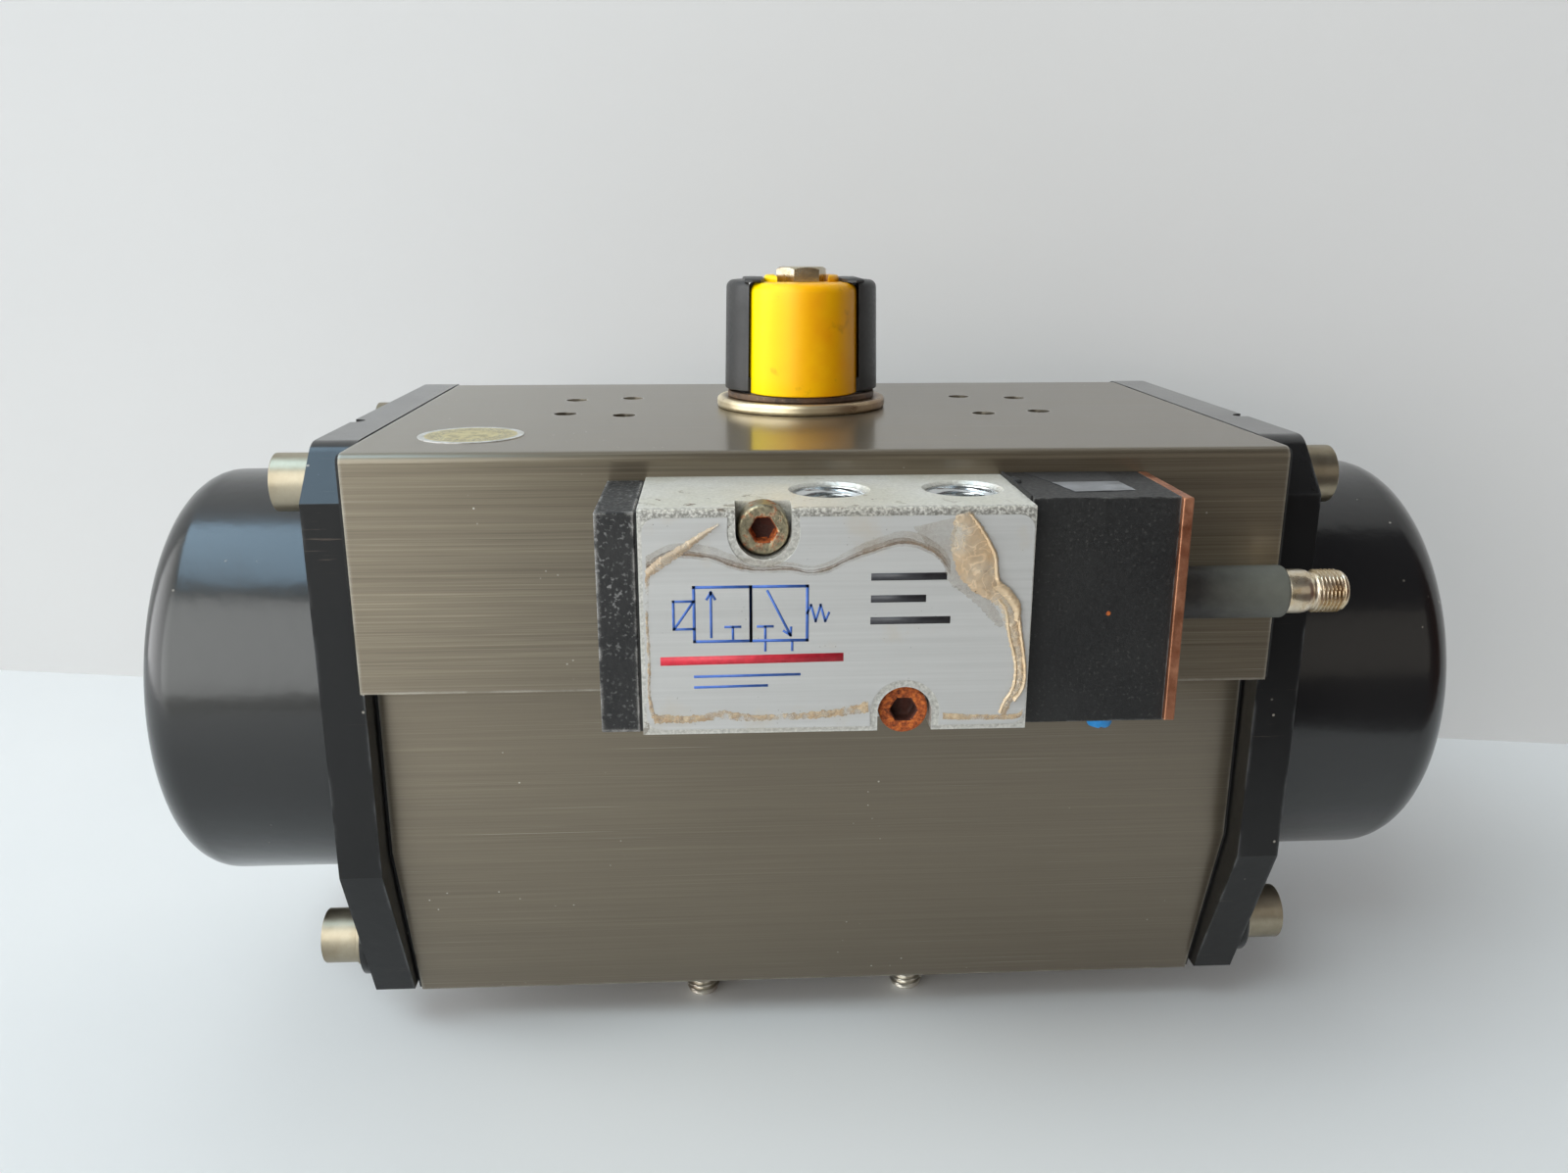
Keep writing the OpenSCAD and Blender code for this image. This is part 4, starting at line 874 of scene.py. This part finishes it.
# G 1/4 threads in the two open ports
for k, x_ in enumerate((0, 23.5)):
    bm = bmesh.new()
    thread_sleeve(bm, (x_, -77, 111.2), (0, 0, 1), 9.9, 6.5, 5.78, 1.337, 64, inner=6.62, runout=1.0)
    ob = add("v_port_thread_%d" % k, bm, M["port_bright"], "casing", 30)
DONE |= {"connector_shell", "mounting_studs", "stop_screws"}


# ---------------------------------------------------------------- springs: round wire, closed ends
def coil_mesh(name, node, rc, w, x0, x1, turns, cy_, cz_, body, mat, seg=40, sides=14):
    n = int(turns * seg)
    rings = []
    for i in range(n + 1):
        t = i / n
        # the first and last three quarters of a turn lie nearly flat
        e = 0.62 / turns
        q = t if turns < 3 else (t * 0.35 if t < e else (e * 0.35 + (t - e) * (1 - 0.7 * e) / (1 - 2 * e) if t < 1 - e else 1 - (1 - t) * 0.35))
        xx = x0 + w + (x1 - x0 - 2 * w) * min(1, max(0, q))
        a = 2 * math.pi * turns * t
        c, s_ = math.cos(a), math.sin(a)
        ring = []
        for j in range(sides):
            b_ = 2 * math.pi * j / sides
            r = rc + w * math.cos(b_)
            ring.append(Vector(((xx + w * math.sin(b_)) * MM, (cy_ + r * c) * MM, (cz_ + r * s_) * MM)))
        rings.append(ring)
    bm = bmesh.new()
    ring_stack(bm, rings)
    ob = add(name, bm, mat, body, 40)
    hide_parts(node)
    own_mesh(ob)
    DONE.add(node)
    return ob


for side, nm, sg in (("left", "left_piston_slide", -1), ("right", "right_piston_slide", 1)):
    a_, b_ = sorted((sg * 134.7, sg * 56.48))
    coil_mesh("v_spring_outer_" + side, "spring_outer_" + side, 33.5, 3.35, a_, b_, 5, 0, 64.45, "casing", M["spring_steel"])
    coil_mesh("v_spring_inner_" + side, "spring_inner_" + side, 24, 2.55, a_, b_, 6.5, 0, 64.45, "casing", M["spring_steel"], 36, 12)
coil_mesh("v_spool_spring", "spool_spring", 4.2, 0.5, -38.55, -28.05, 6, -76.8, 102.2, "casing", M["stainless"], 30, 10)
coil_mesh("v_plunger_spring", "plunger_spring", 1.95, 0.35, 41.05, 44.95, 4, -76.8, 102.2, "casing", M["stainless"], 26, 8)


# ---------------------------------------------------------------- printing on the foil label: a plain valve symbol, a red rule and empty rating fields
FY = -92.5


def strip(bm, x0, z0, x1, z1, w, t=0.03):
    """A thin ink bar between two points of the label."""
    d = Vector((x1 - x0, 0, z1 - z0))
    L = d.length
    d.normalize()
    p = Vector((-d.z, 0, d.x)) * (w / 2)
    a0, a1 = Vector((x0, 0, z0)) - d * (w / 2), Vector((x1, 0, z1)) + d * (w / 2)
    q = [a0 + p, a0 - p, a1 - p, a1 + p]
    rings = [[Vector((v.x * MM, (FY - yy) * MM, v.z * MM)) for v in q] for yy in (-0.01, t)]
    ring_stack(bm, rings)


def arrow(bm, x0, z0, x1, z1, w, head=1.3):
    strip(bm, x0, z0, x1, z1, w)
    d = Vector((x1 - x0, z1 - z0)).normalized()
    for s_ in (-1, 1):
        c, s2 = math.cos(math.radians(150) * s_), math.sin(math.radians(150) * s_)
        strip(bm, x1, z1, x1 + head * (d.x * c - d.y * s2), z1 + head * (d.x * s2 + d.y * c), w)


bm = bmesh.new()
w_ = 0.5
X0, X1, X2, Z0, Z1 = -23.6, -14.2, -4.8, 99.4, 108.8
for xa, xb in ((X0, X1), (X1, X2)):
    for p in ((xa, Z0, xb, Z0), (xb, Z0, xb, Z1), (xb, Z1, xa, Z1), (xa, Z1, xa, Z0)):
        strip(bm, *p, w_)
arrow(bm, X0 + 2.8, Z0 + 0.8, X0 + 2.8, Z1 - 0.9, 0.42)
strip(bm, X0 + 6.4, Z0 + 2.4, X0 + 6.4, Z0 + 0.5, 0.42)
strip(bm, X0 + 5.2, Z0 + 2.5, X0 + 7.6, Z0 + 2.5, 0.42)
arrow(bm, X1 + 2.8, Z1 - 0.8, X1 + 6.6, Z0 + 0.9, 0.42)
strip(bm, X1 + 2.4, Z0 + 2.4, X1 + 2.4, Z0 + 0.5, 0.42)
strip(bm, X1 + 1.2, Z0 + 2.5, X1 + 3.6, Z0 + 2.5, 0.42)
# solenoid box on the left, spring zigzag on the right
for p in ((X0, 101.6, X0 - 3.4, 101.6), (X0 - 3.4, 101.6, X0 - 3.4, 106.4), (X0 - 3.4, 106.4, X0, 106.4), (X0 - 3.2, 101.8, X0 - 0.2, 106.2)):
    strip(bm, *p, 0.42)
zz = [(X2, 104.1), (X2 + 0.6, 105.5), (X2 + 1.4, 102.7), (X2 + 2.2, 105.5), (X2 + 3.0, 102.7), (X2 + 3.6, 104.1)]
for p, q in zip(zz, zz[1:]):
    strip(bm, *p, *q, 0.38)
for xx in (X1 + 2.4, X1 + 6.9):
    strip(bm, xx, Z0 - 0.3, xx, Z0 - 1.7, 0.4)
add("v_label_print_blue", bm, MAT_INK_BLUE, "casing", None)
bm = bmesh.new()
strip(bm, -28.6, 96.0, 0.6, 96.3, 1.5)
add("v_label_print_red", bm, MAT_INK_RED, "casing", None)
bm = bmesh.new()
for z_, l_ in ((93.2, 17.5), (91.3, 12.0)):
    strip(bm, -23.6, z_, -23.6 + l_, z_ + 0.15, 0.45)
add("v_label_print_rule", bm, MAT_INK_BLUE, "casing", None)
bm = bmesh.new()
for z_, l_ in ((110.2, 11.4), (106.4, 8.0), (102.6, 12.2)):
    strip(bm, 6.4, z_, 6.4 + l_, z_, 1.25)
add("v_label_print_black", bm, MAT_INK_BLACK, "casing", None)


# ---------------------------------------------------------------- torn film and adhesive on the label
def resample(pts, n):
    d = [0]
    for p, q in zip(pts, pts[1:]):
        d.append(d[-1] + math.dist(p, q))
    out = []
    for k in range(n):
        s_ = d[-1] * k / (n - 1)
        j = max(i for i in range(len(d)) if d[i] <= s_ + 1e-9)
        j = min(j, len(pts) - 2)
        f = (s_ - d[j]) / (d[j + 1] - d[j])
        out.append((pts[j][0] + (pts[j + 1][0] - pts[j][0]) * f, pts[j][1] + (pts[j + 1][1] - pts[j][1]) * f))
    return out


def smooth_line(pts, n):
    """Catmull-Rom through the points, resampled."""
    P = [pts[0]] + list(pts) + [pts[-1]]
    out = []
    for i in range(1, len(P) - 2):
        for k in range(8):
            t = k / 8
            out.append(tuple(0.5 * ((2 * P[i][c]) + (-P[i - 1][c] + P[i + 1][c]) * t + (2 * P[i - 1][c] - 5 * P[i][c] + 4 * P[i + 1][c] - P[i + 2][c]) * t * t
                                    + (-P[i - 1][c] + 3 * P[i][c] - 3 * P[i + 1][c] + P[i + 2][c]) * t ** 3) for c in (0, 1)))
    out.append(tuple(pts[-1]))
    return resample(out, n)


def sheet(name, A, B, mat, lift, wrinkle, cols=8, n=90, thick=0.05, jag=0.0, base=0.05):
    """A thin crumpled sheet between two polylines of the label plane, lifted in front of it."""
    A, B = smooth_line(A, n), smooth_line(B, n)
    bm = bmesh.new()
    grid = []
    for k in range(n):
        row = []
        for c in range(cols + 1):
            f = c / cols
            x = A[k][0] + (B[k][0] - A[k][0]) * f
            z = A[k][1] + (B[k][1] - A[k][1]) * f
            e = noise.noise(Vector((x * 0.55, z * 0.55, 3.1)))
            e2 = noise.noise(Vector((x * 2.3, z * 2.3, 7.7)))
            if c in (0, cols) and jag:
                x += jag * noise.noise(Vector((k * 0.7, c, 1.3)))
                z += jag * noise.noise(Vector((k * 0.7, c, 9.3)))
            y = FY - base - lift * math.sin(math.pi * f) - wrinkle * (0.5 + 0.6 * e + 0.4 * e2) * math.sin(math.pi * max(0.08, min(0.92, f)))
            row.append((x, y, z))
        grid.append(row)
    front = [[bm.verts.new((x * MM, (y - thick) * MM, z * MM)) for x, y, z in r] for r in grid]
    back = [[bm.verts.new((x * MM, y * MM, z * MM)) for x, y, z in r] for r in grid]
    for g, flip in ((front, False), (back, True)):
        for k in range(n - 1):
            for c in range(cols):
                q = (g[k][c], g[k + 1][c], g[k + 1][c + 1], g[k][c + 1])
                bm.faces.new(q[::-1] if flip else q)
    for k in range(n - 1):
        bm.faces.new((front[k][0], back[k][0], back[k + 1][0], front[k + 1][0]))
        bm.faces.new((front[k][cols], front[k + 1][cols], back[k + 1][cols], back[k][cols]))
    for c in range(cols):
        bm.faces.new((front[0][c], front[0][c + 1], back[0][c + 1], back[0][c]))
        bm.faces.new((front[-1][c], back[-1][c], back[-1][c + 1], front[-1][c + 1]))
    return add(name, bm, mat, "casing", 50)


WAVE = [(-31.3, 112.2), (-27.5, 114.0), (-24.4, 114.2), (-20.6, 113.6), (-17.5, 112.4), (-13.5, 111.5), (-10.6, 111.6), (-7.4, 111.5), (-4.4, 111.0), (-1.5, 111.4), (2.2, 113.2), (6.0, 114.6), (10.4, 115.8), (13.7, 115.3), (16.8, 113.6), (18.9, 110.9)]
def up(z):
    return 0.7 if z < 112 else 1.0


offs = [(-0.45, -0.02, 3), (0.0, 0.38, 0), (0.36, 0.95, 1), (0.9, 2.1, 2)]
for k_, (o0, o1, mi) in enumerate(offs):
    wob = [0.25 * noise.noise(Vector((x * 0.5, k_ * 3.7, 1.0))) for x, z in WAVE]
    sheet("v_film_smear_%d" % k_, [(x, z + o0 + 0.3 * q) for (x, z), q in zip(WAVE, wob)], [(x, z + o1 * (0.55 + 0.45 * min(1, abs(x + 5) / 12)) + q) for (x, z), q in zip(WAVE, wob)],
          SMEARS[mi], 0.0, 0.05, 4, 140, 0.02, 0.12, 0.02 + 0.012 * k_)
sheet("v_film_left", [(-31.6, 111.7), (-29.6, 113.6), (-26.6, 115.4), (-23.4, 117.4), (-19.4, 119.6)], [(-30.4, 110.9), (-28.2, 112.4), (-25.4, 114.4), (-22.4, 116.8), (-19.2, 119.3)], MAT_FILM, 0.25, 0.35, 6, 60, 0.05, 0.25, 0.05)
sheet("v_film_right", [(21.7, 121.1), (23.6, 118.6), (26.1, 114.1), (26.9, 109.1), (29.1, 107.1), (30.3, 105.6), (31.2, 100.5), (32.3, 94.5), (32.3, 90.5), (30.6, 88.0), (29.2, 85.4)],
      [(19.5, 120.6), (18.8, 115.6), (20.3, 110.6), (22.2, 108.1), (25.2, 106.2), (27.6, 104.2), (29.0, 99.6), (30.6, 94.5), (30.3, 90.5), (28.9, 87.9), (28.2, 85.8)], MAT_FILM, 0.15, 0.5, 12, 150, 0.04, 0.5, 0.05)
sheet("v_film_haze_right", [(20.4, 120.4), (19.4, 116.0), (20.9, 110.9), (22.8, 108.3), (26.0, 105.6), (28.6, 101.6)], [(12.6, 118.6), (14.4, 116.2), (17.6, 112.2), (19.0, 108.9), (23.4, 105.4), (27.4, 101.0)], SMEARS[2], 0.0, 0.1, 6, 90, 0.02, 0.4, 0.03)
sheet("v_film_rim_a", [(22.1, 121.0), (24.0, 118.5), (26.5, 114.1), (27.3, 109.6), (29.3, 107.3), (30.7, 105.3), (31.5, 100.5), (32.5, 94.5), (32.5, 90.5), (30.9, 87.8)],
      [(21.6, 120.7), (23.4, 118.2), (25.8, 113.9), (26.6, 109.2), (28.7, 106.8), (30.0, 105.0), (30.9, 100.3), (31.9, 94.3), (31.8, 90.8), (30.4, 88.2)], MAT_FILM_EDGE, 0.35, 0.3, 4, 130, 0.04, 0.22, 0.3)
sheet("v_film_rim_b", [(27.4, 106.4), (28.8, 104.4), (29.6, 100.0), (30.9, 95.0), (30.8, 90.5), (29.3, 87.6), (28.6, 85.6)],
      [(27.0, 105.9), (28.3, 103.9), (29.1, 99.7), (30.4, 94.6), (30.2, 90.6), (28.8, 87.9), (28.1, 85.9)], MAT_FILM_EDGE, 0.2, 0.25, 4, 110, 0.04, 0.2, 0.2)
sheet("v_film_fold", [(27.3, 109.4), (29.4, 107.6), (31.0, 105.0), (30.8, 102.6)], [(26.0, 108.2), (28.0, 106.6), (29.6, 104.4), (30.0, 102.4)], MAT_FILM_EDGE, 0.5, 0.3, 6, 50, 0.05, 0.2, 0.5)
sheet("v_film_low_right", [(32.4, 86.4), (31.4, 85.6), (28.0, 85.4), (22.0, 85.6), (18.6, 85.9)], [(32.3, 85.2), (31.2, 84.6), (28.0, 84.5), (22.0, 84.6), (18.6, 84.8)], MAT_TAN, 0.05, 0.2, 4, 60, 0.03, 0.15, 0.02)
sheet("v_film_low", [(5.6, 88.3), (2.0, 87.3), (-3.0, 86.6), (-9.0, 86.2), (-15.0, 86.3), (-19.0, 87.0), (-24.0, 86.2), (-30.9, 86.6)], [(5.8, 86.2), (2.0, 85.8), (-3.0, 85.4), (-9.0, 85.2), (-15.0, 85.1), (-19.0, 85.4), (-24.0, 85.1), (-30.6, 84.9)], MAT_TAN, 0.05, 0.3, 6, 130, 0.03, 0.4, 0.02)
sheet("v_film_left_rim", [(-31.4, 111.4), (-31.6, 104.0), (-31.5, 96.0), (-31.6, 90.0), (-31.2, 86.0)], [(-30.7, 111.6), (-31.2, 104.0), (-31.0, 96.0), (-31.1, 90.0), (-30.2, 85.6)], MAT_TAN, 0.03, 0.12, 4, 70, 0.03, 0.2, 0.02)

# ---------------------------------------------------------------- half-peeled sticker and gasket nub on the pilot housing
def patch(name, pts, z, mat, t=0.08, n=6, ripple=0.0):
    """A thin four-sided sticker lying on a level face; pts run round it."""
    bm = bmesh.new()
    top, bot = [], []
    for i in range(n + 1):
        ra, rb = [], []
        for j in range(n + 1):
            u, v = i / n, j / n
            x = (pts[0][0] * (1 - u) + pts[1][0] * u) * (1 - v) + (pts[3][0] * (1 - u) + pts[2][0] * u) * v
            y = (pts[0][1] * (1 - u) + pts[1][1] * u) * (1 - v) + (pts[3][1] * (1 - u) + pts[2][1] * u) * v
            e = ripple * (0.5 + 0.5 * noise.noise(Vector((x * 0.6, y * 0.6, 2.0))))
            ra.append(bm.verts.new((x * MM, y * MM, (z + t + e) * MM)))
            rb.append(bm.verts.new((x * MM, y * MM, (z + e * 0.9) * MM)))
        top.append(ra)
        bot.append(rb)
    for g in (top, bot):
        for i in range(n):
            for j in range(n):
                bm.faces.new((g[i][j], g[i + 1][j], g[i + 1][j + 1], g[i][j + 1]))
    for i in range(n):
        bm.faces.new((top[i][0], bot[i][0], bot[i + 1][0], top[i + 1][0]))
        bm.faces.new((top[i][n], top[i + 1][n], bot[i + 1][n], bot[i][n]))
        bm.faces.new((top[0][i], top[0][i + 1], bot[0][i + 1], bot[0][i]))
        bm.faces.new((top[n][i], bot[n][i], bot[n][i + 1], top[n][i + 1]))
    return add(name, bm, mat, "casing", 40)


patch("v_pilot_sticker_dark", [(37.2, -64.9), (52.6, -64.8), (52.0, -74.6), (39.9, -74.8)], 122.3, MAT_FOIL_DARK)
patch("v_pilot_sticker_grey", [(39.9, -74.8), (52.0, -74.6), (52.6, -82.4), (41.8, -83.4)], 122.3, MAT_FOIL_GREY, 0.07, 6, 0.15)
bm = bmesh.new()
lathe(bm, [(0, 0), (0, 1.5), (0.25, 2.05), (0.9, 2.35), (2.6, 2.62), (3.0, 2.9), (9.4, 2.9), (9.4, 0)], (51, -76.8, 76.6), (0, 0, 1), 48)
bm2 = bmesh.new()
ob = raw("v_override", bm)
box_mm(bm2, 50.65, 51.35, -80, -73.6, 75.0, 77.1)
boolean(ob, raw("c", bm2))
finish_piece(ob, M["override_blue"], "override", 40)
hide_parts("manual_override")
DONE.add("manual_override")
bm = bmesh.new()
lathe(bm, [(0, 0), (0, 0.42), (0.05, 0.38), (0.12, 0.22), (0.15, 0)], (47.6, -88.0, 101.9), (0, -1, 0), 18)
add("v_rust_dot", bm, MAT_SCREW_B, "casing", 60)
bm = bmesh.new()
ring_stack(bm, [level(121.2, [(33.0, -75.0), (34.4, -75.0), (34.4, -71.6), (33.0, -71.6)]), level(122.5, [(32.9, -75.1), (34.5, -75.1), (34.5, -71.5), (32.9, -71.5)]),
                level(122.9, [(33.1, -74.8), (34.3, -74.8), (34.3, -71.8), (33.1, -71.8)])])
ob = add("v_gasket_nub", bm, M["gasket_rubber"], "casing", 40)
bevel(ob, 0.25, 3)

# ---------------------------------------------------------------- the hidden pieces keep the CAD shape and take their materials
INNER = {"pinion": M["pinion_steel"], "stop_cam": M["piston_alloy"]}
for node, ob in frame["nodes"].items():
    if node in DONE:
        continue
    ob.data.materials.clear()
    ob.data.materials.append(INNER.get(node, M[SLOT_OF[node]]))
    for p in ob.data.polygons:
        p.use_smooth = True
    ob.data.set_sharp_from_angle(angle=math.radians(32))

# ---------------------------------------------------------------- stage, lights, camera
def slab(name, pts, z0, z1, mat):
    bm = bmesh.new()
    ring_stack(bm, [[Vector((x, y, z0)) for x, y in pts], [Vector((x, y, z1)) for x, y in pts]])
    ob = raw(name, bm)
    ob.data.materials.append(mat)
    return ob


mf = Mat("floor_white")
mf.set(color=mf.mix(mf.rng(mf.noise(3, 4), 0.3, 0.7, 0, 1), srgb(228, 231, 234), srgb(236, 238, 240)), rough=0.5, spec=0.3)
mw = Mat("wall_grey")
mw.set(color=mw.mix(mw.rng(mw.noise(1.5, 4), 0.3, 0.7, 0, 1), srgb(204, 204, 205), srgb(210, 210, 210)), rough=0.8, spec=0.1)
# the wall stands close behind the object, a little out of square with it
wd = Vector((607.0, -109.0, 0)).normalized()
wn = Vector((-wd.y, wd.x, 0))
wc = Vector((0, 162.0, 0))
# one sheet of wall, seen through from behind so that the back of the object can be looked at
lp = mw.n("ShaderNodeLightPath")
tr = mw.n("ShaderNodeBsdfTransparent")
mx = mw.n("ShaderNodeMixShader")
mw.t.links.new(mw.math("MULTIPLY", lp.outputs["Is Camera Ray"], mw.geo.outputs["Backfacing"]), mx.inputs[0])
mw.t.links.new(mw.b.outputs[0], mx.inputs[1])
mw.t.links.new(tr.outputs[0], mx.inputs[2])
mw.t.links.new(mx.outputs[0], mw.out.inputs["Surface"])
bm = bmesh.new()
p0, p1 = (wc - wd * 2500) * MM, (wc + wd * 2500) * MM
vs = [bm.verts.new((p0.x, p0.y, -0.1)), bm.verts.new((p1.x, p1.y, -0.1)), bm.verts.new((p1.x, p1.y, 1.6)), bm.verts.new((p0.x, p0.y, 1.6))]
bm.faces.new(vs)
me = bpy.data.meshes.new("wall")
bm.to_mesh(me)
bm.free()
wall = bpy.data.objects.new("wall", me)
COLL.objects.link(wall)
if me.polygons[0].normal.dot(Vector((0, -1, 0))) < 0:
    me.flip_normals()
me.materials.append(mw.m)
slab("floor", [(-2.5, -0.95), (-0.3, -0.95), (0.2, -0.17), (2.5, -0.05), (2.5, 1.0), (-2.5, 1.0)], -0.035, -0.0121, mf.m)


def area(name, loc, target, sx, sy, energy, color):
    d = bpy.data.lights.new(name, "AREA")
    d.shape = "RECTANGLE"
    d.size, d.size_y, d.energy, d.color = sx, sy, energy, color
    o = bpy.data.objects.new(name, d)
    COLL.objects.link(o)
    o.location = loc
    o.rotation_euler = (Vector(target) - Vector(loc)).to_track_quat("-Z", "Y").to_euler()
    return o


LIGHTS = [("sky", (-0.62, -0.62, 1.05), 0.9, 0.3, (0.81, 0.95, 1.0), 6.1, "d"),
          ("room", (0.9, -1.9, 0.75), 1.6, 1.2, (1.0, 0.93, 0.80), 2.3, "dg"),
          ("gloss_window", (-0.816, -1.307, 0.80), 1.1, 1.44, (0.97, 1.0, 1.0), 14.1, "g"),
          ("gloss_sky", (-0.481, -0.085, 1.16), 0.9, 0.38, (0.48, 0.75, 1.0), 4.8, "g"),
          ("fill_low", (-0.55, -1.3, 0.24), 0.9, 0.4, (1.0, 0.86, 0.78), 4.2, "d"),
          ("overhead", (-0.2, -0.35, 1.9), 1.8, 1.1, (1.0, 0.96, 0.9), 0.6, "dg")]
for n_, loc_, sx, sy, c_, e_, kind_ in LIGHTS:
    o = area(n_, loc_, (0, 0, 0.06), sx, sy, e_, c_)
    o.visible_diffuse = "d" in kind_
    o.visible_glossy = "g" in kind_
w = bpy.data.worlds.new("studio")
bpy.context.scene.world = w
w.use_nodes = True
nt = w.node_tree
bg = nt.nodes["Background"]
tc = nt.nodes.new("ShaderNodeTexCoord")
sx_ = nt.nodes.new("ShaderNodeSeparateXYZ")
nt.links.new(tc.outputs["Generated"], sx_.inputs[0])
rampw = nt.nodes.new("ShaderNodeValToRGB")
mr = nt.nodes.new("ShaderNodeMapRange")
mr.inputs[1].default_value, mr.inputs[2].default_value = -1.0, 1.0
nt.links.new(sx_.outputs[0], mr.inputs[0])
nt.links.new(mr.outputs[0], rampw.inputs[0])
WORLD = [(0.0, (4.14, 4.2, 4.25)), (0.25, (0.99, 1.03, 0.97)), (0.5, (0.02, 0.015, 0.01)), (0.75, (0.135, 0.135, 0.145)), (1.0, (0.08, 0.02, 0.01))]
el = rampw.color_ramp.elements
while len(el) < len(WORLD):
    el.new(0.5)
for k, (p_, c_) in enumerate(WORLD):
    el[k].position = p_
    el[k].color = (*c_, 1)
nt.links.new(rampw.outputs[0], bg.inputs[0])
bg.inputs[1].default_value = 1.0
# straight to the camera the room is a plain pale grey
bg2 = nt.nodes.new("ShaderNodeBackground")
bg2.inputs[0].default_value = (0.6, 0.6, 0.6, 1)
lpw = nt.nodes.new("ShaderNodeLightPath")
mxw = nt.nodes.new("ShaderNodeMixShader")
nt.links.new(lpw.outputs["Is Camera Ray"], mxw.inputs[0])
nt.links.new(bg.outputs[0], mxw.inputs[1])
nt.links.new(bg2.outputs[0], mxw.inputs[2])
nt.links.new(mxw.outputs[0], nt.nodes["World Output"].inputs[0])
bpy.context.scene.view_settings.view_transform = "Standard"
bpy.context.scene.view_settings.look = "None"

cam = bpy.data.cameras.new("camera")
cam.sensor_width = 36.0
cam.lens = 1256.83 / 1600 * 36.0
cam_o = bpy.data.objects.new("camera", cam)
COLL.objects.link(cam_o)
yaw, pitch, roll = 0.052, 0.276, 0.001
fwd = Vector((math.sin(yaw) * math.cos(pitch), math.cos(yaw) * math.cos(pitch), -math.sin(pitch)))
right = Vector((math.cos(yaw), -math.sin(yaw), 0))
up = right.cross(fwd)
r2 = right * math.cos(roll) + up * math.sin(roll)
u2 = up * math.cos(roll) - right * math.sin(roll)
cam_o.matrix_world = Matrix(((r2.x, u2.x, -fwd.x, -0.01886), (r2.y, u2.y, -fwd.y, -0.28799), (r2.z, u2.z, -fwd.z, 0.16421), (0, 0, 0, 1)))
bpy.context.scene.camera = cam_o
